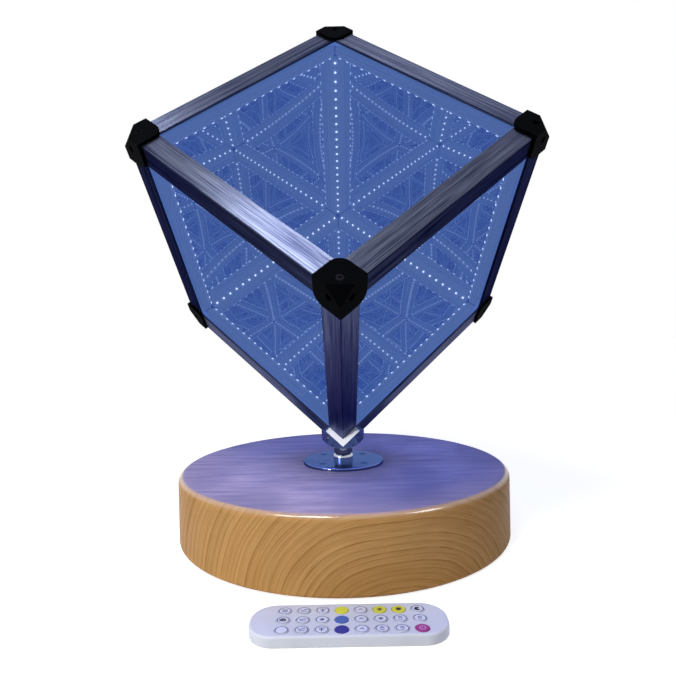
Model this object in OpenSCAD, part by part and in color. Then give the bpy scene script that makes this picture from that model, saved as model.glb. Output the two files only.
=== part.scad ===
// Infinity cube lamp: a lit cube of two-way mirror panels in an aluminium frame, balanced on
// one corner over a round wooden base, with its slim remote control lying in front.
// Millimetres. Origin on the floor under the middle of the base, +Z up, front towards -Y.

/* [Cube] */
// Outer edge of the cube, over the rails
cube_edge = 200; // [170:1:260]
// Width of each outer face of a rail
rail_w = 15.5; // [14.5:0.5:20]
// Thickness of a rail's outer walls
rail_wall = 2; // [1.5:0.1:2.6]
// Chamfer along a rail's inner edge, the seat of its light strip
seat_leg = 4; // [3.8:0.1:5]
// Chamfer along a rail's outer ridge
rail_ridge = 0.5; // [0.2:0.1:1]
// Thickness of a mirror panel
panel_t = 3; // [2:0.5:4]
// How far a panel reaches into its slot
panel_bite = 6.2; // [4:0.1:6.2]
// Length clipped off each corner of a panel
panel_clip = 12; // [10:0.5:12]
// Gap between neighbouring rails where they end at a corner
rail_gap = 0.5; // [0.2:0.1:2]

/* [Light strips] */
// LEDs in one metre of strip
leds_per_m = 125; // [60:5:144]
// Width of the strip
strip_w = 5; // [4:0.5:5.3]
// Thickness of the strip
strip_t = 0.5; // [0.3:0.1:0.8]
// Width of one LED
led_w = 2.8; // [1.6:0.1:3]
// Height of one LED over the strip
led_h = 0.9; // [0.5:0.1:1.2]
// Bare seat between a corner block and the end of a strip
strip_gap = 2; // [2:0.5:10]

/* [Corner caps] */
// Length cut off each edge of a corner block at its inside corner
block_chamfer = 8; // [6:0.5:10]
// Length cut off each edge of the bottom block at its inside corner, around the top nut
bottom_chamfer = 15; // [15:0.5:18]
// Wall of a corner cap
cap_wall = 2; // [1.6:0.1:3]
// How far a cap overlaps the end of each rail
cap_grip = 3; // [2:0.5:8]
// Rounding of the inside corner of each cap face
cap_round = 8; // [4:0.5:10]
// Length cut off each outer edge of a cap at its tip
cap_tip = 11; // [8:0.5:12]
// Distance from the cube's edges to a cap screw
cap_screw_at = 7; // [6.5:0.1:7.2]
// Depth of a cap screw in the block
cap_screw_deep = 5; // [3:0.1:5]
// Diameter of a corner screw's shank
cap_screw_d = 2.5; // [2:0.1:2.6]
// Diameter of a corner screw's head
cap_screw_head_d = 4.6; // [4:0.1:4.8]
// Height of a corner screw's head
cap_screw_head_h = 1.2; // [0.9:0.1:1.3]
// How far a corner screw's head lies below the face
cap_screw_recess = 0.1; // [0.05:0.05:0.2]
// Width across the flats of the socket in a corner screw's head
screw_socket_af = 2; // [1.6:0.1:2.4]
// Depth of that socket
screw_socket_deep = 0.7; // [0.4:0.1:0.8]

/* [Cradle and stem] */
// Wall of the chrome cradle under the bottom corner
cradle_wall = 4.5; // [3:0.1:6]
// How far the cradle overlaps the end of each rail
cradle_grip = 4; // [3:0.5:10]
// Height of the cradle's flat foot over the point where the cube's own edges meet
cradle_flat = 2; // [1:0.1:6]
// Distance from the cube's edges to a cradle screw
cradle_screw_at = 13; // [12.8:0.1:13.2]
// Depth of a cradle screw in the block
cradle_screw_deep = 2; // [1:0.1:2]
// Outer diameter of the threaded stem tube
stem_d = 10; // [8:0.5:11]
// Bore of the stem tube
stem_bore_d = 7; // [5:0.5:7]
// Width across the flats of the stem nuts
nut_af = 13; // [12.5:0.5:14]
// Height of a stem nut
nut_h = 4.5; // [3:0.5:6]
// Diameter of the round collar on the flange
ring_d = 16; // [14.5:0.5:20]
// Height of the round collar
ring_h = 4.8; // [3:0.2:6]
// Rounding of the collar's upper edge
ring_round = 2.4; // [1:0.2:2.6]
// Length of bare thread past the end nuts
thread_spare = 1.5; // [1:0.5:3]
// Height of the sunk nut's seat over the point where the cube's own edges meet
nut_seat = 11.8; // [11.3:0.1:11.8]
// Diameter of the flange plate
flange_d = 65; // [58:1:80]
// Thickness of the flange plate
flange_t = 2.5; // [2:0.1:4]
// Rounding of the flange plate's upper rim
flange_round = 1; // [0.4:0.1:1.5]
// Distance of the flange screws from the middle, along X and along Y
flange_screw_at = 16.3; // [14.5:0.1:18]

/* [Base] */
// Diameter of the wooden base
base_d = 260; // [240:2:320]
// Height of the base over the floor, pad included
base_h = 50; // [48:1:70]
// Rounding of the base's upper edge
base_top_round = 5; // [2:0.5:8]
// Rounding of the base's lower edge
base_low_round = 2; // [1:0.5:5]
// Thickness of the non-slip pad under the base
pad_t = 1; // [1:0.5:3]
// Width left bare around the pad
pad_inset = 3; // [2:0.5:10]
// Diameter of the cover plate under the base
cover_d = 220; // [200:1:224]
// Thickness of the cover plate
cover_t = 4; // [3:0.5:5]
// Diameter of the hollow for the electronics
hollow_d = 150; // [130:1:170]
// Wood left above the hollow
hollow_roof = 18; // [17:1:24]
// Distance of the cover screws from the middle
cover_screw_r = 93; // [90:1:95]
// Diameter of a wood screw
screw_d = 3; // [2.5:0.1:3.2]
// Diameter of a wood screw's head
screw_head_d = 6; // [5.5:0.1:6.4]
// Height of a wood screw's countersunk head
screw_head_h = 1.7; // [1.4:0.1:1.9]
// Whole length of a wood screw
screw_len = 14; // [10:1:15]
// Diameter of a hole in the pad under each cover screw
pad_hole_d = 10; // [8:0.5:14]

/* [Electronics] */
// Length of the controller board along X
board_l = 60; // [50:1:70]
// Width of the controller board along Y
board_w = 48; // [44:1:56]
// Thickness of the controller board
board_t = 1.6; // [1:0.1:2]
// Place of the board's middle along Y
board_y = 20; // [19:1:21]
// Height of the posts that carry the board
post_h = 5; // [4:0.5:6]
// Diameter of those posts
post_d = 6; // [5:0.5:8]
// Diameter of the pin on each post
post_pin_d = 2.4; // [2:0.1:3]
// Distance from the board's edges to its posts
post_inset = 5; // [4:0.5:6]
// Depth of the terminal blocks along Y
terminal_w = 8; // [6:0.5:8]
// Length of the terminal blocks along X
terminal_l = 14; // [10:1:18]
// Height of the terminal block under the stem
terminal_h = 7; // [5:0.5:8]
// Diameter of the leads inside the base and the stem
lead_d = 4; // [3:0.2:4.6]

/* [Power inlet] */
// Height of the inlet's middle over the floor
inlet_z = 24; // [23:0.5:26]
// Depth of the flat behind the base's rim that the inlet plate sits on
inlet_depth = 4; // [3:0.5:6]
// Diameter of the inlet plate
inlet_plate_d = 30; // [29:1:33]
// Thickness of the inlet plate
inlet_plate_t = 2; // [1.9:0.1:2.5]
// Distance of the plate's screws from the inlet's middle
inlet_screw_at = 11; // [10.6:0.1:11.4]
// Diameter of the inlet's barrel
jack_d = 11; // [9:0.5:11]
// Length of the barrel behind the plate's front face
jack_len = 14; // [12:0.5:18]
// Diameter of the inlet's front collar
jack_collar_d = 14; // [12.5:0.5:14.5]
// Height of the front collar
jack_collar_t = 2.5; // [2:0.1:3]
// Diameter of the socket for the plug
socket_d = 5.6; // [5.5:0.1:6.5]
// Depth of the socket
socket_deep = 9.5; // [9:0.5:11]
// Diameter of the centre pin
socket_pin_d = 2.1; // [2:0.1:2.5]
// Width across the flats of the inlet's nut
jack_nut_af = 14; // [13.5:0.5:15]
// Height of the inlet's nut
jack_nut_h = 2.5; // [2:0.5:4]
// Diameter of the bore in the wood behind the plate
inlet_bore_d = 18; // [17.5:0.5:18.5]

/* [Remote] */
// Length of the remote
remote_l = 104; // [98:1:120]
// Width of the remote
remote_w = 32; // [31:0.5:40]
// Height of the remote's case
remote_h = 6.1; // [5.8:0.1:8]
// Rounding of the remote's corners, seen from above
remote_round = 14; // [10:0.5:15]
// Rounding of the case's upper rim
remote_top_round = 1.2; // [0.6:0.1:1.4]
// Rounding of the case's lower rim
remote_low_round = 1; // [0.4:0.1:1.2]
// Distance of the remote's middle to the right of the lamp's axis
remote_x = 0.85; // [-20:0.05:20]
// Distance of the remote's middle in front of the lamp's axis
remote_y = 160; // [152:1:190]
// Thickness of the case's side walls
remote_wall = 1.4; // [1.2:0.1:1.5]
// Thickness of the case's floor
remote_floor = 0.8; // [0.6:0.1:1]
// Thickness of the case's top
remote_roof = 1; // [0.8:0.1:1.2]
// Thickness of the remote's circuit board
remote_board_t = 0.5; // [0.4:0.1:0.7]
// Diameter of the coin cell
cell_d = 20; // [18:0.5:20]
// Thickness of the coin cell
cell_t = 1.6; // [1.2:0.1:1.8]
// Thickness of the battery tray's floor
tray_floor = 0.4; // [0.3:0.05:0.5]
// Width of the battery tray
tray_w = 23; // [22:0.5:24]
// Length of the battery tray from the end of the case
tray_l = 27; // [25:0.5:30]
// Width of the ribs that guide the tray
rib_w = 1.2; // [0.8:0.1:1.4]

/* [Keys] */
// Distance from the remote's left end to the middles of the first keys
key_left = 17.9; // [15.5:0.1:20]
// Distance from the remote's right end to the middles of the last keys
key_right = 14.8; // [14:0.1:16]
// Distance from the remote's back to the middles of the first row's keys
key_back = 7.6; // [5.8:0.1:7.8]
// Distance from the remote's front to the middles of the last row's keys
key_front = 5.8; // [5.7:0.1:6.2]
// Diameter of a key
key_d = 7.2; // [5.6:0.1:7.4]
// How far a key stands over the case
key_proud = 0.3; // [0.2:0.1:1]
// Travel of a key
key_travel = 0.5; // [0.3:0.05:0.5]
// Diameter of the skirt that keeps a key in the case
key_skirt_d = 8.4; // [8.2:0.1:9]
// Chamfer around the top of a key
key_edge = 0.2; // [0.1:0.05:0.5]

/* [Clearances] */
// Gap on each side of a panel in its slot
panel_fit = 0.1; // [0.05:0.05:0.2]
// Gap between a panel's edge and the floor of its slot
panel_edge_fit = 0.3; // [0.2:0.1:0.5]
// Radial gap of the cube's bore on the stem tube
swivel_fit = 0.05; // [0.01:0.01:0.1]
// Gap over and under the turning corner
swivel_gap = 0.2; // [0.1:0.05:0.4]
// Radial gap of a thread, a pin or a lead in its hole
thread_fit = 0.05; // [0.02:0.01:0.1]
// Gap around a cover or plate in its recess
seat_fit = 0.3; // [0.2:0.1:0.5]
// Gap around a key and around the battery tray
key_fit = 0.3; // [0.3:0.05:0.4]
// Gap over and under the battery tray and over a key's skirt
slide_gap = 0.1; // [0.05:0.05:0.15]

/* [Hidden] */
$fn = 64;
far = 1000;
over = 1;
key_rows = 3;
key_cols = 8;

// Cross-section of a rail, seen along the cube's edge
slot_t = panel_t + 2 * panel_fit;
slot_floor = rail_w - panel_bite - panel_edge_fit;
panel_edge = rail_w - panel_bite;
panel_depth = rail_wall + panel_fit;
box_low = rail_wall + slot_t;
core_low = box_low + rail_wall;
core_high = rail_w - rail_wall;
core_leg = seat_leg - rail_wall * (2 - sqrt(2));
block_edge = rail_w + rail_gap;
rail_len = cube_edge - 2 * block_edge;

// Light strips on the slanted seat
seat_mid = rail_w - seat_leg / 2;
strip_margin = block_edge + strip_gap;
strip_len = cube_edge - 2 * strip_margin;
led_pitch = 1000 / leds_per_m;
led_count = floor((strip_len - led_w) / led_pitch) + 1;

// Corners: a plane square to the cube's diagonal is given by the sum of its three distances
tilt = acos(1 / sqrt(3));
cap_cut = cap_tip - 3 * cap_wall;
cap_block_cut = cap_cut + cap_wall * sqrt(3);
cap_reach = block_edge + cap_grip;
cradle_cut = cradle_flat * sqrt(3);
cradle_block_cut = block_edge - seat_fit;
cradle_reach = block_edge + cradle_grip;
cap_screw_sink = cap_screw_head_h + cap_screw_recess;

// Heights over the floor
hollow_top = base_h - hollow_roof;
cover_top = pad_t + cover_t;
flange_top = base_h + flange_t;
neck_nut_z = flange_top + ring_h;
cradle_z = neck_nut_z + nut_h + swivel_gap;
corner_z = cradle_z - cradle_flat;
nut_floor_z = corner_z + nut_seat;
top_nut_z = nut_floor_z + swivel_gap;
inner_nut_z = hollow_top - nut_h;
stem_low_z = inner_nut_z - thread_spare;
stem_top_z = top_nut_z + nut_h + thread_spare;

// Electronics in the base
board_z = cover_top + post_h;
board_top_z = board_z + board_t;
post_xs = [-(board_l / 2 - post_inset), board_l / 2 - post_inset];
post_ys = [board_y - board_w / 2 + post_inset, board_y + board_w / 2 - post_inset];
terminal_y = board_y - board_w / 2 + terminal_w / 2;
inlet_terminal_y = board_y + board_w / 2 - terminal_w / 2;
inlet_face_y = base_d / 2 - inlet_depth;
inlet_front_y = inlet_face_y + inlet_plate_t;
jack_back_y = inlet_front_y - jack_len;

// Remote: heights inside its case
tray_z = remote_floor + slide_gap;
tray_h = tray_floor + cell_t;
remote_split = tray_z + tray_h + 2 * slide_gap;
remote_board_top = remote_split + remote_board_t;
roof_in = remote_h - remote_roof;
skirt_top = roof_in - slide_gap;
skirt_low = remote_board_top + key_travel + slide_gap / 2;
key_top = remote_h + key_proud;
cell_x = -remote_l / 2 + tray_l - cell_d / 2 - rib_w;
inner_round = remote_round - remote_wall;
key_pitch_x = (remote_l - key_left - key_right) / (key_cols - 1);
key_pitch_y = (remote_w - key_back - key_front) / (key_rows - 1);

lower = [[0, 0]];
middle = [[0, 1], [1, 0]];
upper = [[1, 1]];
lower_corners = [[1, 0, 0], [0, 1, 0], [0, 0, 1]];
upper_corners = [[1, 1, 0], [1, 0, 1], [0, 1, 1]];
top_corner = [1, 1, 1];
bottom_corner = [0, 0, 0];

key_names = [for (r = [1:key_rows], c = [1:key_cols]) str("key_", r, "_", c)];

// Shared shapes

// Rectangle with round corners, centred
module round_rect(l, w, r) {
    square([l - 2 * r, w], center = true);
    square([l, w - 2 * r], center = true);
    for (x = [-1, 1], y = [-1, 1])
        translate([x * (l / 2 - r), y * (w / 2 - r)]) circle(r);
}

// Half section of a slab: from the middle line out to its rim, rounded above and below
module rim_section(half, h, top_r, low_r) {
    square([half - max(top_r, low_r), h]);
    translate([0, low_r]) square([half, h - top_r - low_r]);
    if (top_r > 0) {
        translate([half - top_r, h - top_r]) circle(top_r);
        translate([0, h - top_r - low_r]) square([half - top_r, top_r + low_r]);
    }
    if (low_r > 0) {
        translate([half - low_r, low_r]) circle(low_r);
        square([half - low_r, top_r + low_r]);
    }
}

// Slab with round corners and a rounded rim above and below, its underside at z = 0
module soft_slab(l, w, r, h, top_r, low_r) {
    for (side = [0, 1]) mirror([0, side, 0])
        rotate([90, 0, 90]) linear_extrude(l - 2 * r, center = true)
            rim_section(w / 2, h, top_r, low_r);
    for (side = [0, 1]) mirror([side, 0, 0])
        translate([l / 2 - r, 0, 0]) rotate([90, 0, 0])
            linear_extrude(w - 2 * r, center = true) rim_section(r, h, top_r, low_r);
    for (x = [0, 1], y = [0, 1]) mirror([x, 0, 0]) mirror([0, y, 0])
        translate([l / 2 - r, w / 2 - r, 0])
            rotate_extrude(angle = 90) rim_section(r, h, top_r, low_r);
}

// Everything on the far side of a plane square to the diagonal from the origin
module beyond(sum) {
    rotate([0, tilt, 45]) translate([-far / 2, -far / 2, sum / sqrt(3)]) cube(far);
}

// Hexagon nut with its bore, standing on z = 0
module hex_nut(af, h, bore) {
    difference() {
        cylinder(d = af / cos(30), h = h, $fn = 6);
        translate([0, 0, -over]) cylinder(d = bore, h = h + 2 * over);
    }
}

// Wood screw with a countersunk head, its head face at z = 0 and its point down
module wood_screw() {
    rotate_extrude() polygon([
        [0, 0], [screw_head_d / 2, 0], [screw_d / 2, -screw_head_h],
        [screw_d / 2, screw_d - screw_len], [0, -screw_len]]);
}

// Hole for a wood screw: a straight hole and the countersink for its head
module screw_hole(deep) {
    translate([0, 0, -deep]) cylinder(d = screw_d + 2 * thread_fit, h = deep);
    rotate_extrude() polygon([
        [0, -screw_head_h], [screw_d / 2 + thread_fit, -screw_head_h],
        [screw_head_d / 2 + thread_fit, 0], [screw_head_d / 2 + thread_fit, over], [0, over]]);
}

// Places

// Cube standing on its bottom corner, with its front corner towards -Y
module on_corner() {
    translate([0, 0, corner_z]) rotate([0, 0, -30]) rotate([0, -tilt, 0]) rotate([0, 0, -45])
        children();
}

// Corner of the cube, with the cube's inside towards +X, +Y and +Z
module at_corner(v) {
    translate(cube_edge * v) mirror([v[0], 0, 0]) mirror([0, v[1], 0]) mirror([0, 0, v[2]])
        children();
}

// Three ways round a corner: each of the cube's axes in turn takes the place of X
module each_axis() {
    for (k = [0:2]) rotate(120 * k, [1, 1, 1]) children();
}

// The cube's edges along all three axes at the given sides of the cube
module each_edge(sides) {
    each_axis() for (s = sides)
        translate([0, s[0] * cube_edge, s[1] * cube_edge]) mirror([0, s[0], 0]) mirror([0, 0, s[1]])
            children();
}

module at_flange_screws() {
    for (x = [-1, 1], y = [-1, 1])
        translate([x * flange_screw_at, y * flange_screw_at, flange_top]) children();
}

module at_cover_screws() {
    for (a = [45:90:315]) rotate(a) translate([cover_screw_r, 0, pad_t]) mirror([0, 0, 1]) children();
}

module at_inlet() {
    translate([0, inlet_face_y, inlet_z]) rotate([-90, 0, 0]) children();
}

module at_inlet_screws() {
    at_inlet() for (x = [-1, 1]) translate([x * inlet_screw_at, 0, inlet_plate_t]) children();
}

module at_remote() {
    translate([remote_x, -remote_y, 0]) children();
}

// Base

// Solid wooden disc, hollowed from below
module base_block() {
    color("burlywood") difference() {
        translate([0, 0, pad_t])
            rotate_extrude($fn = 128)
                rim_section(base_d / 2, base_h - pad_t, base_top_round, base_low_round);
        translate([0, 0, pad_t - over]) cylinder(d = cover_d + 2 * seat_fit, h = cover_t + over);
        cylinder(d = hollow_d, h = hollow_top);
        cylinder(d = stem_d + 2 * seat_fit, h = base_h + over);
        at_flange_screws() screw_hole(screw_len);
        at_cover_screws() screw_hole(screw_len);
        at_inlet() cylinder(d = inlet_plate_d + 2 * seat_fit, h = 2 * inlet_depth);
        at_inlet() translate([0, 0, -inlet_face_y + hollow_d / 4])
            cylinder(d = inlet_bore_d, h = inlet_face_y);
        at_inlet_screws() screw_hole(screw_len);
    }
}

// Plate that closes the hollow, with posts for the board
module base_cover() {
    color("dimgray") {
        difference() {
            translate([0, 0, pad_t]) cylinder(d = cover_d, h = cover_t);
            at_cover_screws() screw_hole(screw_len);
        }
        for (x = post_xs, y = post_ys) translate([x, y, cover_top]) {
            cylinder(d = post_d, h = post_h);
            cylinder(d = post_pin_d, h = post_h + 2 * board_t);
        }
    }
}

// Non-slip pad, open under the cover's screws
module base_pad() {
    color("black") difference() {
        cylinder(d = cover_d - 2 * pad_inset, h = pad_t);
        at_cover_screws() translate([0, 0, -over]) cylinder(d = pad_hole_d, h = pad_t + 2 * over);
    }
}

// Screws of the flange, the cover and the inlet plate, all alike
module wood_screws() {
    color("silver") {
        at_flange_screws() wood_screw();
        at_cover_screws() wood_screw();
        at_inlet_screws() wood_screw();
    }
}

// Board with the terminal of the cube's lead, the terminal of the inlet and its chips
module controller_board() {
    color("seagreen") {
        difference() {
            translate([-board_l / 2, board_y - board_w / 2, board_z]) cube([board_l, board_w, board_t]);
            for (x = post_xs, y = post_ys)
                translate([x, y, 0]) cylinder(d = post_pin_d + 2 * seat_fit, h = board_z + 2 * board_t);
        }
        translate([-terminal_l / 2, terminal_y - terminal_w / 2, board_top_z])
            cube([terminal_l, terminal_w, terminal_h]);
        translate([-terminal_l / 2, inlet_terminal_y - terminal_w / 2, board_top_z])
            cube([terminal_l, terminal_w, inlet_z + lead_d - board_top_z]);
        translate([-board_l / 4, board_y, board_top_z]) cylinder(d = terminal_w, h = terminal_h);
        translate([board_l / 8, board_y - terminal_w, board_top_z])
            cube([2 * terminal_w, 2 * terminal_w, 2 * board_t]);
    }
}

// Lead from the inlet to the board, and from the board up through the stem
module inner_leads() {
    color("black") {
        translate([0, 0, board_top_z + terminal_h])
            cylinder(d = lead_d, h = stem_top_z + thread_spare - board_top_z - terminal_h);
        translate([0, inlet_terminal_y + terminal_w / 2, inlet_z]) rotate([-90, 0, 0])
            cylinder(d = lead_d, h = jack_back_y - inlet_terminal_y - terminal_w / 2);
    }
}

// Power inlet at the back

module inlet_plate() {
    color("black") difference() {
        at_inlet() cylinder(d = inlet_plate_d, h = inlet_plate_t);
        at_inlet() translate([0, 0, -over])
            cylinder(d = jack_d + 2 * thread_fit, h = inlet_plate_t + 2 * over);
        at_inlet_screws() screw_hole(screw_len);
    }
}

// Barrel socket with its centre pin
module dc_inlet() {
    mouth = inlet_plate_t + jack_collar_t;
    color("black") at_inlet() {
        difference() {
            union() {
                translate([0, 0, inlet_plate_t]) cylinder(d = jack_collar_d, h = jack_collar_t);
                translate([0, 0, inlet_plate_t - jack_len]) cylinder(d = jack_d, h = jack_len);
            }
            translate([0, 0, mouth - socket_deep]) cylinder(d = socket_d, h = socket_deep + over);
        }
        translate([0, 0, mouth - socket_deep - over]) cylinder(d = socket_pin_d, h = socket_deep);
    }
}

module inlet_nut() {
    color("silver") at_inlet()
        translate([0, 0, -jack_nut_h]) hex_nut(jack_nut_af, jack_nut_h, jack_d + 2 * thread_fit);
}

// Stem

// Thin round plate on the wood, with four countersunk holes
module flange_plate() {
    color("gainsboro") difference() {
        translate([0, 0, base_h]) rotate_extrude($fn = 96)
            rim_section(flange_d / 2, flange_t, flange_round, 0);
        cylinder(d = stem_d + 2 * thread_fit, h = flange_top + over);
        at_flange_screws() screw_hole(screw_len);
    }
}

// Hollow threaded tube from the hollow up into the cube's bottom corner
module stem_tube() {
    color("silver") difference() {
        translate([0, 0, stem_low_z]) cylinder(d = stem_d, h = stem_top_z - stem_low_z);
        translate([0, 0, stem_low_z - over])
            cylinder(d = stem_bore_d, h = stem_top_z - stem_low_z + 2 * over);
    }
}

// Nuts under the wood, on the collar and inside the cube
module stem_nuts() {
    color("gainsboro") for (z = [inner_nut_z, neck_nut_z, top_nut_z])
        translate([0, 0, z]) hex_nut(nut_af, nut_h, stem_d + 2 * thread_fit);
}

// Round collar on the flange, its upper edge rounded
module stem_ring() {
    color("gainsboro") translate([0, 0, flange_top]) difference() {
        rotate_extrude() rim_section(ring_d / 2, ring_h, ring_round, 0);
        translate([0, 0, -over]) cylinder(d = stem_d + 2 * thread_fit, h = ring_h + 2 * over);
    }
}

// Cube corners

// One face of a cap: a plate on the cube's side x = 0, its inside corner rounded
module cap_face(wall, reach, round) {
    side = reach + wall;
    rotate([90, 0, 90]) translate([-wall, -wall, -wall]) linear_extrude(wall) {
        square([side, side - round]);
        square([side - round, side]);
        translate([side - round, side - round]) circle(round);
    }
}

// Three faces round a corner and the flat that cuts off the tip
module corner_shell(wall, reach, round, cut, block_cut) {
    intersection() {
        beyond(cut);
        union() {
            each_axis() cap_face(wall, reach, round);
            difference() {
                translate([-wall, -wall, -wall]) cube(wall + reach);
                beyond(block_cut);
            }
        }
    }
}

// Screw of a corner, pointing into the cube's side x = 0, its neck ending at the sink of the wall
module corner_screw(wall, deep) {
    rotate([0, 90, 0]) difference() {
        union() {
            translate([0, 0, cap_screw_sink - wall - cap_screw_head_h])
                cylinder(d = cap_screw_head_d, h = cap_screw_head_h);
            translate([0, 0, cap_screw_sink - wall])
                cylinder(d = cap_screw_d, h = wall - cap_screw_sink + deep);
        }
        translate([0, 0, cap_screw_sink - wall - cap_screw_head_h - over])
            cylinder(d = screw_socket_af / cos(30), h = over + screw_socket_deep, $fn = 6);
    }
}

// Hole for a corner screw through a wall and into the block
module corner_screw_hole(wall, deep) {
    rotate([0, 90, 0]) {
        translate([0, 0, -wall - over])
            cylinder(d = cap_screw_head_d + 2 * thread_fit, h = cap_screw_sink + over);
        translate([0, 0, -wall]) cylinder(d = cap_screw_d + 2 * thread_fit, h = wall + deep + thread_fit);
    }
}

module at_corner_screws(at) {
    each_axis() translate([0, at, at]) children();
}

module corner_cap() {
    difference() {
        corner_shell(cap_wall, cap_reach, cap_round, cap_cut, cap_block_cut);
        at_corner_screws(cap_screw_at) corner_screw_hole(cap_wall, cap_screw_deep);
    }
}

// Outline of a panel with clipped corners, grown by a margin
module panel_outline(grow) {
    low = panel_edge - grow;
    high = cube_edge - low;
    clip = panel_clip;
    polygon([
        [low + clip, low], [high - clip, low], [high, low + clip], [high, high - clip],
        [high - clip, high], [low + clip, high], [low, high - clip], [low, low + clip]]);
}

// Panel of the cube's side x = 0
module side_panel(grow_edge, grow_face) {
    rotate([90, 0, 90]) translate([0, 0, panel_depth - grow_face])
        linear_extrude(panel_t + 2 * grow_face) panel_outline(grow_edge);
}

// Block inside a corner that the three rails meet, slotted for the panels. The bottom one has
// a round pocket for the stem's top nut
module corner_block(cut, chamfer) {
    difference() {
        intersection() {
            cube(block_edge);
            beyond(cut);
        }
        beyond(3 * block_edge - chamfer);
        each_axis() side_panel(panel_edge_fit, panel_fit);
    }
}

// Chrome corner that carries the cube and turns on the stem tube
module corner_cradle() {
    color("gainsboro") difference() {
        on_corner() difference() {
            corner_shell(cradle_wall, cradle_reach, cap_round, cradle_cut, cradle_block_cut);
            at_corner_screws(cradle_screw_at) corner_screw_hole(cradle_wall, cradle_screw_deep);
        }
        cylinder(d = stem_d + 2 * swivel_fit, h = stem_top_z);
    }
}

module cradle_screws() {
    color("silver") on_corner()
        at_corner_screws(cradle_screw_at) corner_screw(cradle_wall, cradle_screw_deep);
}

module corner_blocks() {
    color("black") {
        on_corner() for (v = concat(lower_corners, upper_corners, [top_corner])) at_corner(v) difference() {
            corner_block(cap_block_cut, block_chamfer);
            at_corner_screws(cap_screw_at) corner_screw_hole(cap_wall, cap_screw_deep);
        }
        difference() {
            on_corner() difference() {
                corner_block(cradle_block_cut, bottom_chamfer);
                at_corner_screws(cradle_screw_at) corner_screw_hole(cradle_wall, cradle_screw_deep);
            }
            cylinder(d = stem_d + 2 * swivel_fit, h = stem_top_z);
            translate([0, 0, nut_floor_z]) cylinder(d = nut_af / cos(30) + 2 * seat_fit, h = block_edge);
        }
    }
}

module top_cap() {
    color("black") on_corner() at_corner(top_corner) corner_cap();
}

module upper_caps() {
    color("black") on_corner() for (v = upper_corners) at_corner(v) corner_cap();
}

module lower_caps() {
    color("black") on_corner() for (v = lower_corners) at_corner(v) corner_cap();
}

module cap_screws() {
    color("black") on_corner() for (v = concat(lower_corners, upper_corners, [top_corner]))
        at_corner(v) at_corner_screws(cap_screw_at) corner_screw(cap_wall, cap_screw_deep);
}

// Cube edges

// Rail along the cube's X edge: a square tube with a slot for each panel and a slanted seat
// for the strip along its inner edge
module rail() {
    rotate([90, 0, 90]) translate([0, 0, block_edge]) linear_extrude(rail_len) difference() {
        polygon([
            [rail_ridge, 0], [rail_w, 0], [rail_w, rail_wall], [slot_floor, rail_wall],
            [slot_floor, box_low], [rail_w, box_low], [rail_w, rail_w - seat_leg],
            [rail_w - seat_leg, rail_w], [box_low, rail_w], [box_low, slot_floor],
            [rail_wall, slot_floor], [rail_wall, rail_w], [0, rail_w], [0, rail_ridge]]);
        polygon([
            [core_low, core_low], [core_high, core_low], [core_high, core_high - core_leg],
            [core_high - core_leg, core_high], [core_low, core_high]]);
    }
}

module lower_rails() {
    color("lightsteelblue") on_corner() each_edge(lower) rail();
}

module middle_rails() {
    color("lightsteelblue") on_corner() each_edge(middle) rail();
}

module upper_rails() {
    color("lightsteelblue") on_corner() each_edge(upper) rail();
}

// Strip on a rail's slanted seat, with its row of LEDs facing the middle of the cube
module light_strip() {
    first = strip_margin + (strip_len - (led_count - 1) * led_pitch) / 2;
    translate([0, seat_mid, seat_mid]) rotate([-45, 0, 0]) {
        translate([strip_margin, -strip_w / 2, 0]) cube([strip_len, strip_w, strip_t]);
        for (i = [0:led_count - 1])
            translate([first + i * led_pitch - led_w / 2, -led_w / 2, 0])
                cube([led_w, led_w, strip_t + led_h]);
    }
}

module light_strips() {
    color("white") on_corner() each_edge(concat(lower, middle, upper)) light_strip();
}

// Panels: the cube's axis that a panel is square to, and its side of the cube
module panel(axis, side) {
    color("royalblue", 0.6) on_corner() rotate(120 * axis, [1, 1, 1])
        translate([side * cube_edge, 0, 0]) mirror([side, 0, 0]) side_panel(0, 0);
}

module panel_upper_front() { panel(0, 1); }
module panel_upper_right() { panel(1, 1); }
module panel_upper_left() { panel(2, 1); }
module panel_lower_back() { panel(0, 0); }
module panel_lower_left() { panel(1, 0); }
module panel_lower_right() { panel(2, 0); }

// Remote

function key_x(c) = -remote_l / 2 + key_left + (c - 1) * key_pitch_x;
function key_y(r) = remote_w / 2 - key_back - (r - 1) * key_pitch_y;

// Space inside the case, from one height to another
module remote_inside(low, high) {
    translate([0, 0, low]) linear_extrude(high - low)
        round_rect(remote_l - 2 * remote_wall, remote_w - 2 * remote_wall, inner_round);
}

// Upper half of the case with a hole for each key
module remote_top() {
    color("white") at_remote() difference() {
        translate([0, 0, remote_split])
            soft_slab(remote_l, remote_w, remote_round, remote_h - remote_split, remote_top_round, 0);
        remote_inside(remote_split - over, roof_in);
        for (r = [1:key_rows], c = [1:key_cols])
            translate([key_x(c), key_y(r), 0])
                cylinder(d = key_d + 2 * key_fit, h = remote_h + over, $fn = 32);
    }
}

// Lower half of the case, open at its left end for the tray, with the ribs that guide it
module remote_bottom() {
    slot_w = tray_w + 2 * key_fit;
    color("white") at_remote() {
        difference() {
            soft_slab(remote_l, remote_w, remote_round, remote_split, 0, remote_low_round);
            remote_inside(remote_floor, remote_split + over);
            translate([-remote_l, -slot_w / 2, remote_floor]) cube([remote_l, slot_w, remote_h]);
        }
        for (side = [0, 1]) mirror([0, side, 0])
            translate([-remote_l / 2 + remote_round, slot_w / 2, remote_floor / 2])
                cube([remote_l - 2 * remote_round, rib_w, remote_split - remote_floor / 2]);
    }
}

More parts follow.
